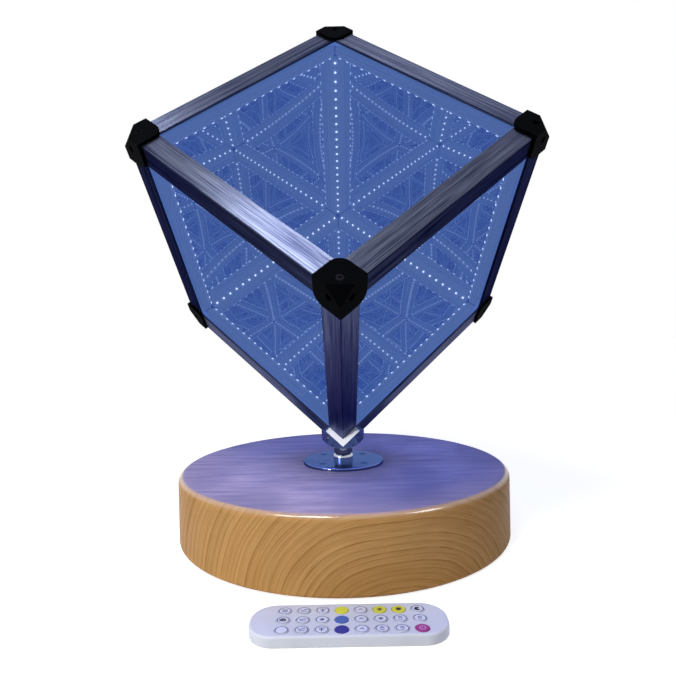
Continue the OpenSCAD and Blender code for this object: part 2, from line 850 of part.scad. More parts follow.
// Circuit board under the keys, resting on the ribs
module remote_board() {
    color("seagreen") at_remote() translate([0, 0, remote_split]) linear_extrude(remote_board_t)
        round_rect(remote_l - 2 * remote_wall - 2 * seat_fit, remote_w - 2 * remote_wall - 2 * seat_fit,
            inner_round - seat_fit);
}

// Tray that slides out of the left end, with a round seat for the cell
module battery_tray() {
    color("white") at_remote() difference() {
        intersection() {
            translate([0, 0, tray_z]) linear_extrude(tray_h) round_rect(remote_l, remote_w, remote_round);
            translate([-remote_l / 2 - over, -tray_w / 2, 0]) cube([tray_l + over, tray_w, remote_h]);
        }
        translate([cell_x, 0, tray_z + tray_floor]) cylinder(d = cell_d + 2 * seat_fit, h = cell_t + over);
    }
}

module coin_cell() {
    color("silver") at_remote()
        translate([cell_x, 0, tray_z + tray_floor]) cylinder(d = cell_d, h = cell_t);
}

// Key with a skirt under the case's roof
module remote_key(r, c) {
    color("white") at_remote() translate([key_x(c), key_y(r), 0]) rotate_extrude($fn = 32) polygon([
        [0, skirt_low], [key_skirt_d / 2, skirt_low], [key_skirt_d / 2, skirt_top],
        [key_d / 2, skirt_top], [key_d / 2, key_top - key_edge],
        [key_d / 2 - key_edge, key_top], [0, key_top]]);
}

base_block();
base_cover();
base_pad();
wood_screws();
controller_board();
inner_leads();
inlet_plate();
dc_inlet();
inlet_nut();
flange_plate();
stem_tube();
stem_nuts();
stem_ring();
corner_cradle();
cradle_screws();
corner_blocks();
top_cap();
upper_caps();
lower_caps();
cap_screws();
lower_rails();
middle_rails();
upper_rails();
light_strips();
panel_upper_front();
panel_upper_right();
panel_upper_left();
panel_lower_back();
panel_lower_left();
panel_lower_right();
remote_top();
remote_bottom();
remote_board();
battery_tray();
coin_cell();
for (r = [1:key_rows], c = [1:key_cols])
    remote_key(r, c);
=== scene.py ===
"""Looks of the infinity cube lamp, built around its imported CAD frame.

Every length is in metres, in the frame of the CAD part: the origin lies on the floor under the
middle of the base, +Z points up and the front corner of the cube points towards -Y.
"""

import logging
import math
from dataclasses import dataclass, field
from enum import Enum
from typing import Any, Iterable, Protocol, Sequence

import bmesh
import bpy
import numpy as np
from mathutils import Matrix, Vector


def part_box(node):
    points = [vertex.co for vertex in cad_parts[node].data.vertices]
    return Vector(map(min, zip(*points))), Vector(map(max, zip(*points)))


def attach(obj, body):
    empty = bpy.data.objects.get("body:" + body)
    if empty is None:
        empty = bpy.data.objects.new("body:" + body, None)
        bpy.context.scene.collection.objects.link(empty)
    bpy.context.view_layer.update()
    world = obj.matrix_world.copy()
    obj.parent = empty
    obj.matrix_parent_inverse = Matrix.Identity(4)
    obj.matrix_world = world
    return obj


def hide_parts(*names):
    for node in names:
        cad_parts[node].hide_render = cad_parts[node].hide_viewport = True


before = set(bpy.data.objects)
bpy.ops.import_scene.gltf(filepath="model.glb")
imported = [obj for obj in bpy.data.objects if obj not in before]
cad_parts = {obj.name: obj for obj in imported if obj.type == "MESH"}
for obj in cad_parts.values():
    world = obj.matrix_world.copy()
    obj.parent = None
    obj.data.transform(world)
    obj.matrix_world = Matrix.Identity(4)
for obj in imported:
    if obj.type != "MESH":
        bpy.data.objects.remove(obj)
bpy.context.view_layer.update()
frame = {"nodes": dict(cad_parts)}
LOG = logging.getLogger("cube_lamp")

Rgb = tuple[float, float, float]
Place = Sequence[float]
Socket = bpy.types.NodeSocket
Material = bpy.types.Material

WHITE: Rgb = (1.0, 1.0, 1.0)
# Painted strip light: colour and strength of the emission that stands in for the strips' light on the faces
# beside them
PAINTED_STRIP_LIGHT: Rgb = (0.60, 0.93, 1.0)
PAINTED_STRIP_STRENGTH = 0.075
# Depth of the fine relief of most finishes
RELIEF = 0.0001


def rgba(colour: Rgb) -> tuple[float, float, float, float]:
    """A colour with full cover, as a colour socket takes it."""
    return (*colour, 1.0)


# Surfaces


@dataclass
class Surface:
    """A mesh worked out as whole arrays.

    Fields:
        points: one row of x, y and z per vertex.
        quads: one row of four vertex numbers per face.
        tris: one row of three vertex numbers per face.
        slot: material slot of every face.
    """

    points: np.ndarray
    quads: np.ndarray
    tris: np.ndarray = field(default_factory=lambda: np.zeros((0, 3), int))
    slot: int = 0


def full_turn(steps: int) -> np.ndarray:
    """Angles of equal steps round a full turn."""
    return np.arange(steps) * 2 * math.pi / steps


def circle(angle: np.ndarray) -> np.ndarray:
    """Points at those angles on a circle of radius 1, as x and y."""
    return np.stack([np.cos(angle), np.sin(angle)], -1)


def rings_of(radius: np.ndarray, height: np.ndarray | float, angle: np.ndarray) -> np.ndarray:
    """Points of rings round the Z axis.

    Args:
        radius: radius of each ring, as one column, or as one column per step.
        height: height of each ring, likewise.
        angle: angle of each step.

    Returns:
        The points, as rings x steps x 3.
    """
    x, y = radius * np.cos(angle), radius * np.sin(angle)
    return np.stack([x, y, np.broadcast_to(height, x.shape)], -1)


def grid_quads(rows: int, cols: int, close_rows: bool = False, close_cols: bool = False) -> np.ndarray:
    """Faces of a grid of rows x cols vertices, numbered row by row.

    Args:
        rows: number of rows of vertices.
        cols: number of vertices in a row.
        close_rows: whether the last row joins the first.
        close_cols: whether each row's last vertex joins its first.

    Returns:
        One row of four vertex numbers per face.
    """
    r = np.arange(rows if close_rows else rows - 1)[:, None]
    c = np.arange(cols if close_cols else cols - 1)[None, :]
    r_next, c_next = (r + 1) % rows, (c + 1) % cols
    corners = [r * cols + c, r * cols + c_next, r_next * cols + c_next, r_next * cols + c]
    return np.stack(corners, -1).reshape(-1, 4)


def capped(rings: np.ndarray, first: float, last: float) -> Surface:
    """A closed surface over rings round the Z axis, with a pole before the first and after the last.

    Args:
        rings: the points, as rings x steps x 3.
        first: height of the first pole.
        last: height of the last pole.

    Returns:
        The surface, with its faces outwards where the rings go up.
    """
    n, m = rings.shape[:2]
    around = np.arange(m)
    after = (around + 1) % m
    near = np.stack([np.full(m, n * m), after, around], -1)
    far = np.stack([np.full(m, n * m + 1), (n - 1) * m + around, (n - 1) * m + after], -1)
    points = np.concatenate([rings.reshape(-1, 3), [[0, 0, first], [0, 0, last]]])
    return Surface(points, grid_quads(n, m, False, True), np.concatenate([near, far]))


def tube(sections: np.ndarray, closed: bool = False) -> Surface:
    """A surface over sections along a path, closed at its ends unless they meet.

    Args:
        sections: the points, as sections x points x 3.
        closed: whether the last section joins the first.

    Returns:
        The surface.
    """
    n, m = sections.shape[:2]
    made = Surface(sections.reshape(-1, 3), grid_quads(n, m, closed, True))
    if not closed:
        fan = np.stack([np.zeros(m - 2, int), np.arange(1, m - 1), np.arange(2, m)], -1)
        made.tris = np.concatenate([fan, (n - 1) * m + fan[:, ::-1]])
    return made


def stroke(path: np.ndarray, width: float, height: float, closed: bool = False) -> Surface:
    """Carries a low rounded section along a flat path, as a printed line that stands a little proud.

    The section is a half ellipse over a flat underside; it is set square to the path at each point.

    Args:
        path: points of the path, as x and y.
        width: width of the line.
        height: height of the line.
        closed: whether the path's end joins its start.

    Returns:
        A closed surface whose underside lies at z = 0.
    """
    along = np.roll(path, -1, 0) - np.roll(path, 1, 0) if closed else np.gradient(path, axis=0)
    along = along / np.linalg.norm(along, axis=1, keepdims=True)
    side = np.stack([-along[:, 1], along[:, 0]], -1)
    turn = np.linspace(0, math.pi, 7)
    across, up = np.cos(turn) * width / 2, np.sin(turn) * height
    flat = path[:, None, :] + side[:, None, :] * across[None, :, None]
    return tube(np.concatenate([flat, np.broadcast_to(up, flat.shape[:2])[..., None]], -1), closed)


def dome(radius: float, height: float) -> Surface:
    """A round printed dot: a quarter ellipse carried round the Z axis over a flat underside."""
    turn = np.linspace(0, math.pi / 2, 5)[:-1, None]
    return capped(rings_of(radius * np.cos(turn), height * np.sin(turn), full_turn(24)), 0.0, height)


def moved(surface: Surface, shift: Place, turn: np.ndarray | None = None, slot: int = 0) -> Surface:
    """A copy of a surface, turned about the origin and then moved.

    Args:
        surface: what to copy.
        shift: how far, along x, y and z.
        turn: a 3 x 3 matrix whose columns are the new axes.
        slot: the copy's material slot.

    Returns:
        The copy.
    """
    points = surface.points if turn is None else surface.points @ turn.T
    return Surface(points + np.asarray(shift), surface.quads, surface.tris, slot)


def flipped(surface: Surface) -> Surface:
    """The same surface with its faces turned to the other side."""
    return Surface(surface.points, surface.quads[:, ::-1], surface.tris[:, ::-1], surface.slot)


def join(parts: Iterable[Surface]) -> tuple[np.ndarray, np.ndarray, np.ndarray, np.ndarray]:
    """Puts several surfaces into one mesh, numbering the vertices of each after those before it.

    Args:
        parts: the surfaces.

    Returns:
        Points, quads, triangles, and the material slot of each face, quads first.
    """
    parts = list(parts)
    starts = np.cumsum([0] + [len(p.points) for p in parts[:-1]])
    points = np.concatenate([p.points for p in parts])
    quads = np.concatenate([p.quads + s for p, s in zip(parts, starts)])
    tris = np.concatenate([p.tris + s for p, s in zip(parts, starts)])
    slots = [np.full(len(p.quads), p.slot) for p in parts] + [np.full(len(p.tris), p.slot) for p in parts]
    return points, quads, tris, np.concatenate(slots)


# Pieces


class Finish(Protocol):
    """A look that can be given to pieces."""

    def material(self) -> Material:
        """Builds the material."""


def make_piece(name: str, parts: Iterable[Surface], materials: Sequence[Material], body: str,
               sharp_deg: float = 35.0) -> bpy.types.Object:
    """Makes one object of several surfaces, which rides on a CAD body.

    Args:
        name: the piece's name.
        parts: its surfaces.
        materials: its material slots, in order.
        body: the CAD body that it moves with.
        sharp_deg: edges that bend more than this stay crisp.

    Returns:
        The object, at the origin, with its place in its mesh.
    """
    points, quads, tris, slots = join(parts)
    mesh = bpy.data.meshes.new(name)
    mesh.from_pydata(points.tolist(), [], quads.tolist() + tris.tolist())
    for material in materials:
        mesh.materials.append(material)
    mesh.polygons.foreach_set("material_index", slots.astype(np.int32))
    mesh.polygons.foreach_set("use_smooth", np.ones(len(slots), bool))
    mesh.set_sharp_from_angle(angle=math.radians(sharp_deg))
    mesh.update()
    piece = bpy.data.objects.new(name, mesh)
    bpy.context.scene.collection.objects.link(piece)
    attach(piece, body)
    LOG.info("made %s: %d faces on %s", name, len(slots), body)
    return piece


def add_values(piece: bpy.types.Object, name: str, values: np.ndarray) -> None:
    """Gives each vertex of a piece a number that its material can read.

    Args:
        piece: the object.
        name: the attribute's name.
        values: one number per vertex.
    """
    layer = piece.data.attributes.new(name, "FLOAT", "POINT")
    layer.data.foreach_set("value", np.asarray(values, np.float32).ravel())


def merge_doubles(piece: bpy.types.Object) -> None:
    """Joins vertices of a piece that lie within a thousandth of a millimetre.

    Args:
        piece: the object.
    """
    work = bmesh.new()
    work.from_mesh(piece.data)
    bmesh.ops.remove_doubles(work, verts=work.verts, dist=1e-6)
    work.to_mesh(piece.data)
    work.free()


def dress(finish: Finish, *nodes: str) -> None:
    """Gives CAD nodes a finish.

    Args:
        finish: the look.
        nodes: names of the nodes.
    """
    material = finish.material()
    for name in nodes:
        mesh = frame["nodes"][name].data
        mesh.materials.clear()
        mesh.materials.append(material)
        LOG.info("dressed %s in %s", name, material.name)


# Shader nodes


class Shader:
    """The node tree of a material, or of the world, under construction."""

    def __init__(self, name: str, world: bool = False) -> None:
        """Starts an empty material of that name, or an empty world.

        Args:
            name: name of the material or of the world.
            world: whether it is a world.
        """
        self.material = (bpy.data.worlds if world else bpy.data.materials).new(name)
        self.material.use_nodes = True
        self.tree = self.material.node_tree
        self.tree.nodes.clear()
        self.out = self.tree.nodes.new("ShaderNodeOutputWorld" if world else "ShaderNodeOutputMaterial")

    def node(self, kind: str, sockets: dict[Any, Any] | None = None, **settings: Any) -> bpy.types.Node:
        """Adds a node.

        Args:
            kind: the node's type, without its leading ShaderNode.
            sockets: input name or number to a value, or to the output that feeds it.
            settings: the node's own settings.

        Returns:
            The node.
        """
        made = self.tree.nodes.new("ShaderNode" + kind)
        for key, value in settings.items():
            setattr(made, key, value)
        for key, value in (sockets or {}).items():
            self.feed(made.inputs[key], value)
        return made

    def feed(self, socket: Socket, value: Any) -> None:
        """Links an output to a socket, or sets the socket's own value.

        Args:
            socket: the input.
            value: an output, or the input's own value.
        """
        if isinstance(value, Socket):
            self.tree.links.new(value, socket)
        else:
            socket.default_value = value

    def math(self, operation: str, *values: Any) -> Socket:
        """One step of arithmetic on numbers; returns its result."""
        return self.node("Math", dict(enumerate(values)), operation=operation).outputs[0]

    def chain(self, operation: str, values: Sequence[Any]) -> Socket:
        """The same step of arithmetic from each number to the next.

        Args:
            operation: the step.
            values: the numbers, in order.

        Returns:
            The last result.
        """
        total = values[0]
        for value in values[1:]:
            total = self.math(operation, total, value)
        return total

    def vector(self, operation: str, *values: Any) -> Socket:
        """One step of arithmetic on vectors; returns its vector."""
        return self.node("VectorMath", dict(enumerate(values)), operation=operation).outputs[0]

    def dot(self, a: Any, b: Any) -> Socket:
        """Dot product of two vectors."""
        return self.node("VectorMath", {0: a, 1: b}, operation="DOT_PRODUCT").outputs["Value"]

    def combine(self, *values: Any) -> Socket:
        """A vector of up to three numbers."""
        return self.node("CombineXYZ", dict(enumerate(values))).outputs[0]

    def split(self, vector: Any) -> list[Socket]:
        """The three numbers of a vector."""
        return list(self.node("SeparateXYZ", {0: vector}).outputs)

    def place(self) -> Socket:
        """The piece's own coordinates, in metres."""
        return self.node("TexCoord").outputs["Object"]

    def noise(self, at: Any, scale: float, detail: float = 3.0, rough: float = 0.55) -> Socket:
        """Noise between 0 and 1 at a place."""
        sockets = {"Vector": at, "Scale": scale, "Detail": detail, "Roughness": rough}
        return self.node("TexNoise", sockets).outputs["Fac"]

    def ramp(self, value: Any, low: float, high: float, to_low: float = 0.0, to_high: float = 1.0,
             soft: bool = False) -> Socket:
        """Maps a number from one range to another and keeps it there.

        Args:
            value: the number.
            low: start of the range that it comes from.
            high: end of that range.
            to_low: what the start becomes.
            to_high: what the end becomes.
            soft: whether it eases in and out.

        Returns:
            The number in its new range.
        """
        sockets = {"Value": value, "From Min": low, "From Max": high, "To Min": to_low, "To Max": to_high}
        kind = "SMOOTHSTEP" if soft else "LINEAR"
        return self.node("MapRange", sockets, interpolation_type=kind).outputs["Result"]

    def spread(self, noise: Any, to_low: float = 0.0, to_high: float = 1.0) -> Socket:
        """Maps the range in which noise mostly lies to another."""
        return self.ramp(noise, 0.3, 0.7, to_low, to_high)

    def mix(self, share: Any, a: Any, b: Any) -> Socket:
        """Mixes two colours.

        Args:
            share: share of the second colour.
            a: the first colour, or the output that gives it.
            b: the second colour, likewise.

        Returns:
            The mixed colour.
        """
        made = self.node("Mix", {0: share}, data_type="RGBA")
        self.feed(made.inputs[6], rgba(a) if isinstance(a, tuple) else a)
        self.feed(made.inputs[7], rgba(b) if isinstance(b, tuple) else b)
        return made.outputs[2]

    def blend(self, share: Any, a: bpy.types.Node, b: bpy.types.Node) -> Socket:
        """Mixes two shaders."""
        return self.node("MixShader", {0: share, 1: a.outputs[0], 2: b.outputs[0]}).outputs[0]

    def bump(self, height: Any, strength: float, distance: float = RELIEF) -> Socket:
        """A normal bent by a height."""
        sockets = {"Height": height, "Strength": strength, "Distance": distance}
        return self.node("Bump", sockets).outputs["Normal"]

    def seen(self) -> Socket:
        """1 for the camera's own rays, reflections and what is seen through glass, 0 for other light.

        Returns:
            That number.
        """
        path = self.node("LightPath").outputs
        kinds = ("Glossy", "Transmission", "Camera")
        return self.chain("MAXIMUM", [path[f"Is {kind} Ray"] for kind in kinds])

    def principled(self, sockets: dict[str, Any]) -> Material:
        """Joins the main shader to the output and returns the material."""
        return self.finish(self.node("BsdfPrincipled", sockets).outputs["BSDF"])

    def finish(self, shader: Socket) -> Material:
        """Joins a shader to the output and returns the material."""
        self.tree.links.new(shader, self.out.inputs["Surface"])
        return self.material


# The cube's own axes


@dataclass(frozen=True)
class CubeAxes:
    """Where the cube stands: on one corner, with another towards the front.

    Fields:
        edge: outer edge of the cube.
        foot: height of the bottom corner over the floor.
    """

    edge: float = 0.200
    foot: float = 0.060

    def corner(self) -> np.ndarray:
        """The bottom corner."""
        return np.array([0.0, 0.0, self.foot])

    def axes(self) -> np.ndarray:
        """Directions of the three edges at the bottom corner, front, right and left, as columns.

        Returns:
            A 3 x 3 matrix.
        """
        side, up = math.sqrt(2 / 3), 1 / math.sqrt(3)
        turn = np.radians([-90.0, 30.0, 150.0])
        return np.stack([side * np.cos(turn), side * np.sin(turn), np.full(3, up)])

    def middle(self) -> np.ndarray:
        """The cube's middle."""
        return self.corner() + self.axes().sum(1) * self.edge / 2

    def deviations(self, shader: Shader) -> tuple[Socket, list[Socket]]:
        """Nodes for a place in the cube, as its distance from the cube's middle along each edge.

        Args:
            shader: the material under construction.

        Returns:
            The place relative to the cube's middle along the three edges, and the size of each part.
        """
        away = shader.vector("SUBTRACT", shader.place(), tuple(self.middle()))
        parts = [shader.dot(away, tuple(axis)) for axis in self.axes().T]
        return shader.combine(*parts), [shader.math("ABSOLUTE", p) for p in parts]


# Finishes


@dataclass(frozen=True)
class Wood:
    """Lacquered blond wood: arched growth rings round the side, fine level streaks on top, where the cube's
    blue light is painted in as a lilac tint.

    Fields:
        pale, warm, dark: colours of early wood, of its broad bands and of the ring lines.
        deep: colour of the fibres between the lines.
        top_pale, top_dark: colours of the upper face and of its streaks, both with the cube's blue light
            painted in as a lilac tint.
        rim: paler colour of the rounded upper edge, a painted highlight.
        pith: x and z of the rings' middle on the front.
        ring, wander: distance between ring lines, and how far they wander.
        lines: for each set of ring lines, its number to a ring and its faintest and darkest line.
        square: 2 for round arches, more for squarer ones.
        across, along: how fine the fibres are across the rings and along them, as noise scales.
    """

    pale: Rgb = (0.58, 0.335, 0.125)
    warm: Rgb = (0.44, 0.230, 0.072)
    dark: Rgb = (0.175, 0.078, 0.018)
    deep: Rgb = (0.31, 0.150, 0.040)
    top_pale: Rgb = (0.44, 0.335, 0.335)
    top_dark: Rgb = (0.230, 0.190, 0.235)
    rim: Rgb = (0.54, 0.37, 0.25)
    pith: tuple[float, float] = (0.034, -0.030)
    ring: float = 0.0040
    wander: float = 0.007
    lines: tuple[tuple[float, float, float], ...] = ((1.0, 0.05, 1.0), (2.3, 0.0, 0.75), (4.9, 0.0, 0.45))
    square: float = 2.5
    across: float = 1100.0
    along: float = 60.0

    def rings(self, s: Shader, at: Socket) -> tuple[Socket, Socket, Socket, Socket]:
        """Nodes for the growth rings: distance from the pith, a little uneven, in steps of one ring.

        The distance is a rounded-square one: both parts are raised to the power `square`, added and
        brought back by the root, so that the arches are flat above the pith and steep beside it.

        Args:
            s: the material under construction.
            at: the place.

        Returns:
            The distance from the pith, how dark the ring lines are there, how far into its ring it is,
            and the fibres that run along the rings.
        """
        x, y, z = s.split(at)
        dx = s.math("ABSOLUTE", s.math("SUBTRACT", x, self.pith[0]))
        dz = s.math("ABSOLUTE", s.math("SUBTRACT", z, self.pith[1]))
        powers = s.math("ADD", s.math("POWER", dx, self.square), s.math("POWER", dz, self.square))
        uneven = s.math("MULTIPLY", s.math("SUBTRACT", s.noise(at, 11.0, 2.0), 0.5), self.wander)
        reach = s.math("ADD", s.math("POWER", powers, 1 / self.square), uneven)
        crowd = s.math("MULTIPLY", s.noise(s.combine(reach), 60.0, 2.0), 2.4)
        turn = s.math("ADD", s.math("DIVIDE", reach, self.ring), crowd)
        lines, phases = [], []
        for rate, faint, strong in self.lines:
            count = s.math("MULTIPLY", turn, rate)
            phase = s.math("FRACT", count)
            rise = s.ramp(phase, 0.50, 0.94, soft=True)
            fall = s.ramp(phase, 0.94, 1.0, 1.0, 0.0)
            crisp = s.math("POWER", s.math("MULTIPLY", rise, fall), 3.0)
            each = s.node("TexWhiteNoise", {"W": s.math("FLOOR", count)}, noise_dimensions="1D")
            lines.append(s.math("MULTIPLY", crisp, s.ramp(each.outputs["Value"], 0.0, 1.0, faint, strong)))
            phases.append(phase)
        patches = s.ramp(s.noise(at, 70.0, 2.0), 0.35, 0.62, 0.45, 1.0)
        line = s.math("MULTIPLY", s.chain("MAXIMUM", lines), patches)
        scales = ((reach, self.across), (x, self.along), (y, self.along))
        drawn = s.combine(*(s.math("MULTIPLY", part, scale) for part, scale in scales))
        return reach, line, phases[0], s.noise(drawn, 1.0, 3.0, 0.6)

    def side(self, s: Shader, at: Socket, fibre: Socket) -> tuple[Socket, Socket]:
        """Nodes for the colour of the side, and for how dark the ring lines are there.

        Args:
            s: the material under construction.
            at: the place.
            fibre: the fine fibres there.

        Returns:
            The colour and the lines.
        """
        reach, line, phase, grain = self.rings(s, at)
        band = s.noise(s.combine(reach), 38.0, 2.0)
        late = s.math("ADD", s.math("MULTIPLY", phase, 0.55), s.ramp(band, 0.35, 0.68, -0.1, 0.55))
        colour = s.mix(s.math("MINIMUM", late, 1.0), self.pale, self.warm)
        colour = s.mix(s.ramp(grain, 0.40, 0.72, 0.0, 0.50), colour, self.deep)
        colour = s.mix(s.math("MULTIPLY", line, 0.80), colour, self.dark)
        return s.mix(s.ramp(fibre, 0.35, 0.75, 0.0, 0.30), colour, self.warm), line

    def top(self, s: Shader, at: Socket) -> tuple[Socket, Socket]:
        """Nodes for the colour of the upper face, with painted lilac light of the cube, and for its streaks.

        Args:
            s: the material under construction.
            at: the place.

        Returns:
            The colour and the streaks.
        """
        slant = s.node("Mapping", {"Vector": at, "Rotation": (0.0, 0.0, math.radians(-3.0)),
                                   "Scale": (22.0, 190.0, 5.0)})
        streak = s.noise(slant.outputs[0], 1.0, 5.0, 0.62)
        wide = s.node("Mapping", {"Vector": at, "Scale": (5.0, 26.0, 3.0)})
        broad = s.noise(wide.outputs[0], 1.0, 2.0)
        # Painted light: the top's colours carry the cube's blue glow as a lilac tint; random patches darken
        # it toward top_dark.
        cloud = s.noise(s.vector("MULTIPLY", at, (1.0, 0.6, 1.0)), 16.0, 1.0)
        colour = s.mix(s.ramp(streak, 0.36, 0.68), self.top_pale, self.top_dark)
        colour = s.mix(s.ramp(broad, 0.35, 0.75, 0.0, 0.45), colour, self.top_pale)
        return s.mix(s.ramp(cloud, 0.44, 0.62, 0.0, 0.55, soft=True), colour, self.top_dark), streak

    def material(self) -> Material:
        """Builds the material: the side and the top by which way a place faces, the top with painted light of
        the cube, with a glossy rim between that also carries a painted highlight.

        Returns:
            The material.
        """
        s = Shader("lacquered_wood")
        at = s.place()
        fibre = s.noise(s.vector("MULTIPLY", at, (1.0, 0.12, 1.0)), 700.0, 2.0)
        side, line = self.side(s, at, fibre)
        top, streak = self.top(s, at)
        facing = s.split(s.node("NewGeometry").outputs["Normal"])[2]
        flat = s.ramp(facing, 0.86, 0.98, soft=True)
        round_edge = s.math("MULTIPLY", s.ramp(facing, 0.30, 0.75, soft=True), s.math("SUBTRACT", 1.0, flat))
        height = s.math("ADD", s.math("MULTIPLY", line, 0.15), s.math("MULTIPLY", fibre, 0.25))
        height = s.math("ADD", height, s.math("MULTIPLY", s.math("MULTIPLY", streak, flat), 0.5))
        # Painted highlight: the rounded edge is paled toward rim; the coat on it gives real gloss.
        colour = s.mix(s.math("MULTIPLY", round_edge, 0.4), s.mix(flat, side, top), self.rim)
        return s.principled({
            "Base Color": colour, "Roughness": s.spread(fibre, 0.34, 0.48),
            "Normal": s.bump(height, 0.12, 0.0004), "Specular IOR Level": s.ramp(flat, 0.0, 1.0, 0.02, 0.005),
            "Coat Weight": round_edge, "Coat IOR": 1.5, "Coat Roughness": 0.14})


@dataclass(frozen=True)
class BrushedAluminium:
    """Aluminium brushed along each rail, with painted strip light inside the cube and painted shade on faces
    that look down.

    Fields:
        axes, name: where the cube stands and what the finish is called.
        colour, streak, edge: the metal, its darker brush marks and its tint at a glancing angle.
        shade: how much painted shade darkens the faces that look down.
        dim, dim_edge: colour and glancing tint that are painted on a face in full shade.
        drawn: how far the marks are drawn out along a rail, below 1.
        inside: half the distance between opposite panels' outer faces, within which the rails show painted
            strip light.
    """

    axes: CubeAxes
    name: str = "brushed_aluminium"
    colour: Rgb = (0.120, 0.136, 0.200)
    streak: Rgb = (0.022, 0.028, 0.064)
    edge: Rgb = (0.52, 0.52, 0.72)
    shade: float = 0.0
    dim: Rgb = (0.002, 0.002, 0.008)
    dim_edge: Rgb = (0.02, 0.02, 0.06)
    drawn: float = 0.985
    inside: float = 0.0980

    def material(self) -> Material:
        """Builds the material: the rail's own edge is the one along which a place is nearest the middle.

        Returns:
            The material.
        """
        s = Shader(self.name)
        local, away = self.axes.deviations(s)
        own = []
        for k in range(3):
            nearer = [s.math("LESS_THAN", away[k], away[(k + step) % 3]) for step in (1, 2)]
            own.append(s.chain("MULTIPLY", nearer))
        drawn = s.vector("MULTIPLY", s.combine(*own), (self.drawn,) * 3)
        brushed = s.vector("MULTIPLY", local, s.vector("SUBTRACT", (1.0, 1.0, 1.0), drawn))
        fine = s.noise(brushed, 1700.0, 2.0, 0.6)
        broad = s.noise(brushed, 420.0, 3.0, 0.6)
        marks = s.math("ADD", s.math("MULTIPLY", fine, 0.55), s.math("MULTIPLY", broad, 0.45))
        rails = [s.node("VectorMath", {0: tuple(axis), "Scale": share}, operation="SCALE").outputs[0]
                 for axis, share in zip(self.axes.axes().T, own)]
        along = s.vector("ADD", s.vector("ADD", rails[0], rails[1]), rails[2])
        tangent = s.node("VectorTransform", {0: along}, vector_type="VECTOR", convert_from="OBJECT",
                         convert_to="WORLD")
        # Painted strip light: inside the cube the rails glow by emission, as if the strips lit them.
        within = s.chain("MULTIPLY", [s.math("LESS_THAN", part, self.inside) for part in away])
        metal = s.mix(s.ramp(marks, 0.41, 0.59), self.colour, self.streak)
        # Painted shade: faces that look down are darkened toward dim, and their glancing tint toward
        # dim_edge.
        facing = s.split(s.node("TexCoord").outputs["Normal"])[2]
        below = s.ramp(facing, -0.3, 0.1, self.shade, 0.0)
        return s.principled({
            "Base Color": s.mix(below, metal, self.dim), "Metallic": 1.0,
            "Specular Tint": s.mix(below, self.edge, self.dim_edge),
            "Anisotropic": 0.75, "Anisotropic Rotation": 0.25, "Tangent": tangent.outputs[0],
            "Roughness": s.spread(fine, 0.33, 0.41), "Normal": s.bump(marks, 0.10, 2 * RELIEF),
            "Emission Color": rgba(PAINTED_STRIP_LIGHT),
            "Emission Strength": s.math("MULTIPLY", within, PAINTED_STRIP_STRENGTH)})


@dataclass(frozen=True)
class Polished:
    """Polished metal with faint wipe marks in its gloss.

    Fields:
        name, colour: what it is called and its colour.
        smooth, dull: roughness between the marks and in them.
        edge: tint at a glancing angle.
    """

    name: str
    colour: Rgb
    smooth: float
    dull: float
    edge: Rgb = WHITE

    def material(self) -> Material:
        """Builds the material.

        Returns:
            The material.
        """
        s = Shader(self.name)
        at = s.place()
        marks = s.noise(at, 60.0, 4.0)
        tone = tuple(0.86 * c for c in self.colour)
        return s.principled({
            "Base Color": s.mix(s.ramp(marks, 0.4, 0.7), self.colour, tone), "Metallic": 1.0,
            "Specular Tint": rgba(self.edge), "Roughness": s.ramp(marks, 0.35, 0.70, self.smooth, self.dull),
            "Normal": s.bump(s.noise(at, 900.0, 2.0), 0.02)})


@dataclass(frozen=True)
class Moulded:
    """Moulded plastic or rubber with a fine grain and a slight change of tone.

    Fields:
        name, colour: what it is called and its colour.
        rough: middle roughness.
        grain: size of the grain, as noise scale.
        relief: how strongly the grain shows.
        gloss: level of its reflections.
    """

    name: str
    colour: Rgb
    rough: float
    grain: float
    relief: float
    gloss: float = 0.4

    def material(self) -> Material:
        """Builds the material.

        Returns:
            The material.
        """
        s = Shader(self.name)
        at = s.place()
        grain = s.noise(at, self.grain, 2.0)
        tone = tuple(0.88 * c for c in self.colour)
        return s.principled({
            "Base Color": s.mix(s.ramp(s.noise(at, 25.0), 0.35, 0.7), self.colour, tone),
            "Roughness": s.spread(grain, self.rough - 0.06, self.rough + 0.08),
            "Specular IOR Level": self.gloss, "Normal": s.bump(grain, self.relief)})


@dataclass(frozen=True)
class CircuitBoard:
    """Green solder resist with paler tracks under it.

    Fields:
        resist, track: colours of the resist and of the tracks.
    """

    resist: Rgb = (0.012, 0.10, 0.045)
    track: Rgb = (0.05, 0.22, 0.10)

    def material(self) -> Material:
        """Builds the material: tracks follow the cells of a stepped pattern.

        Returns:
            The material.
        """
        s = Shader("circuit_board")
        cells = s.node("TexVoronoi", {"Vector": s.place(), "Scale": 260.0}, distance="MANHATTAN",
                       feature="F1")
        tracks = s.ramp(cells.outputs["Distance"], 0.28, 0.34)
        return s.principled({"Base Color": s.mix(tracks, self.track, self.resist), "Roughness": 0.35,
                             "Normal": s.bump(tracks, 0.15)})


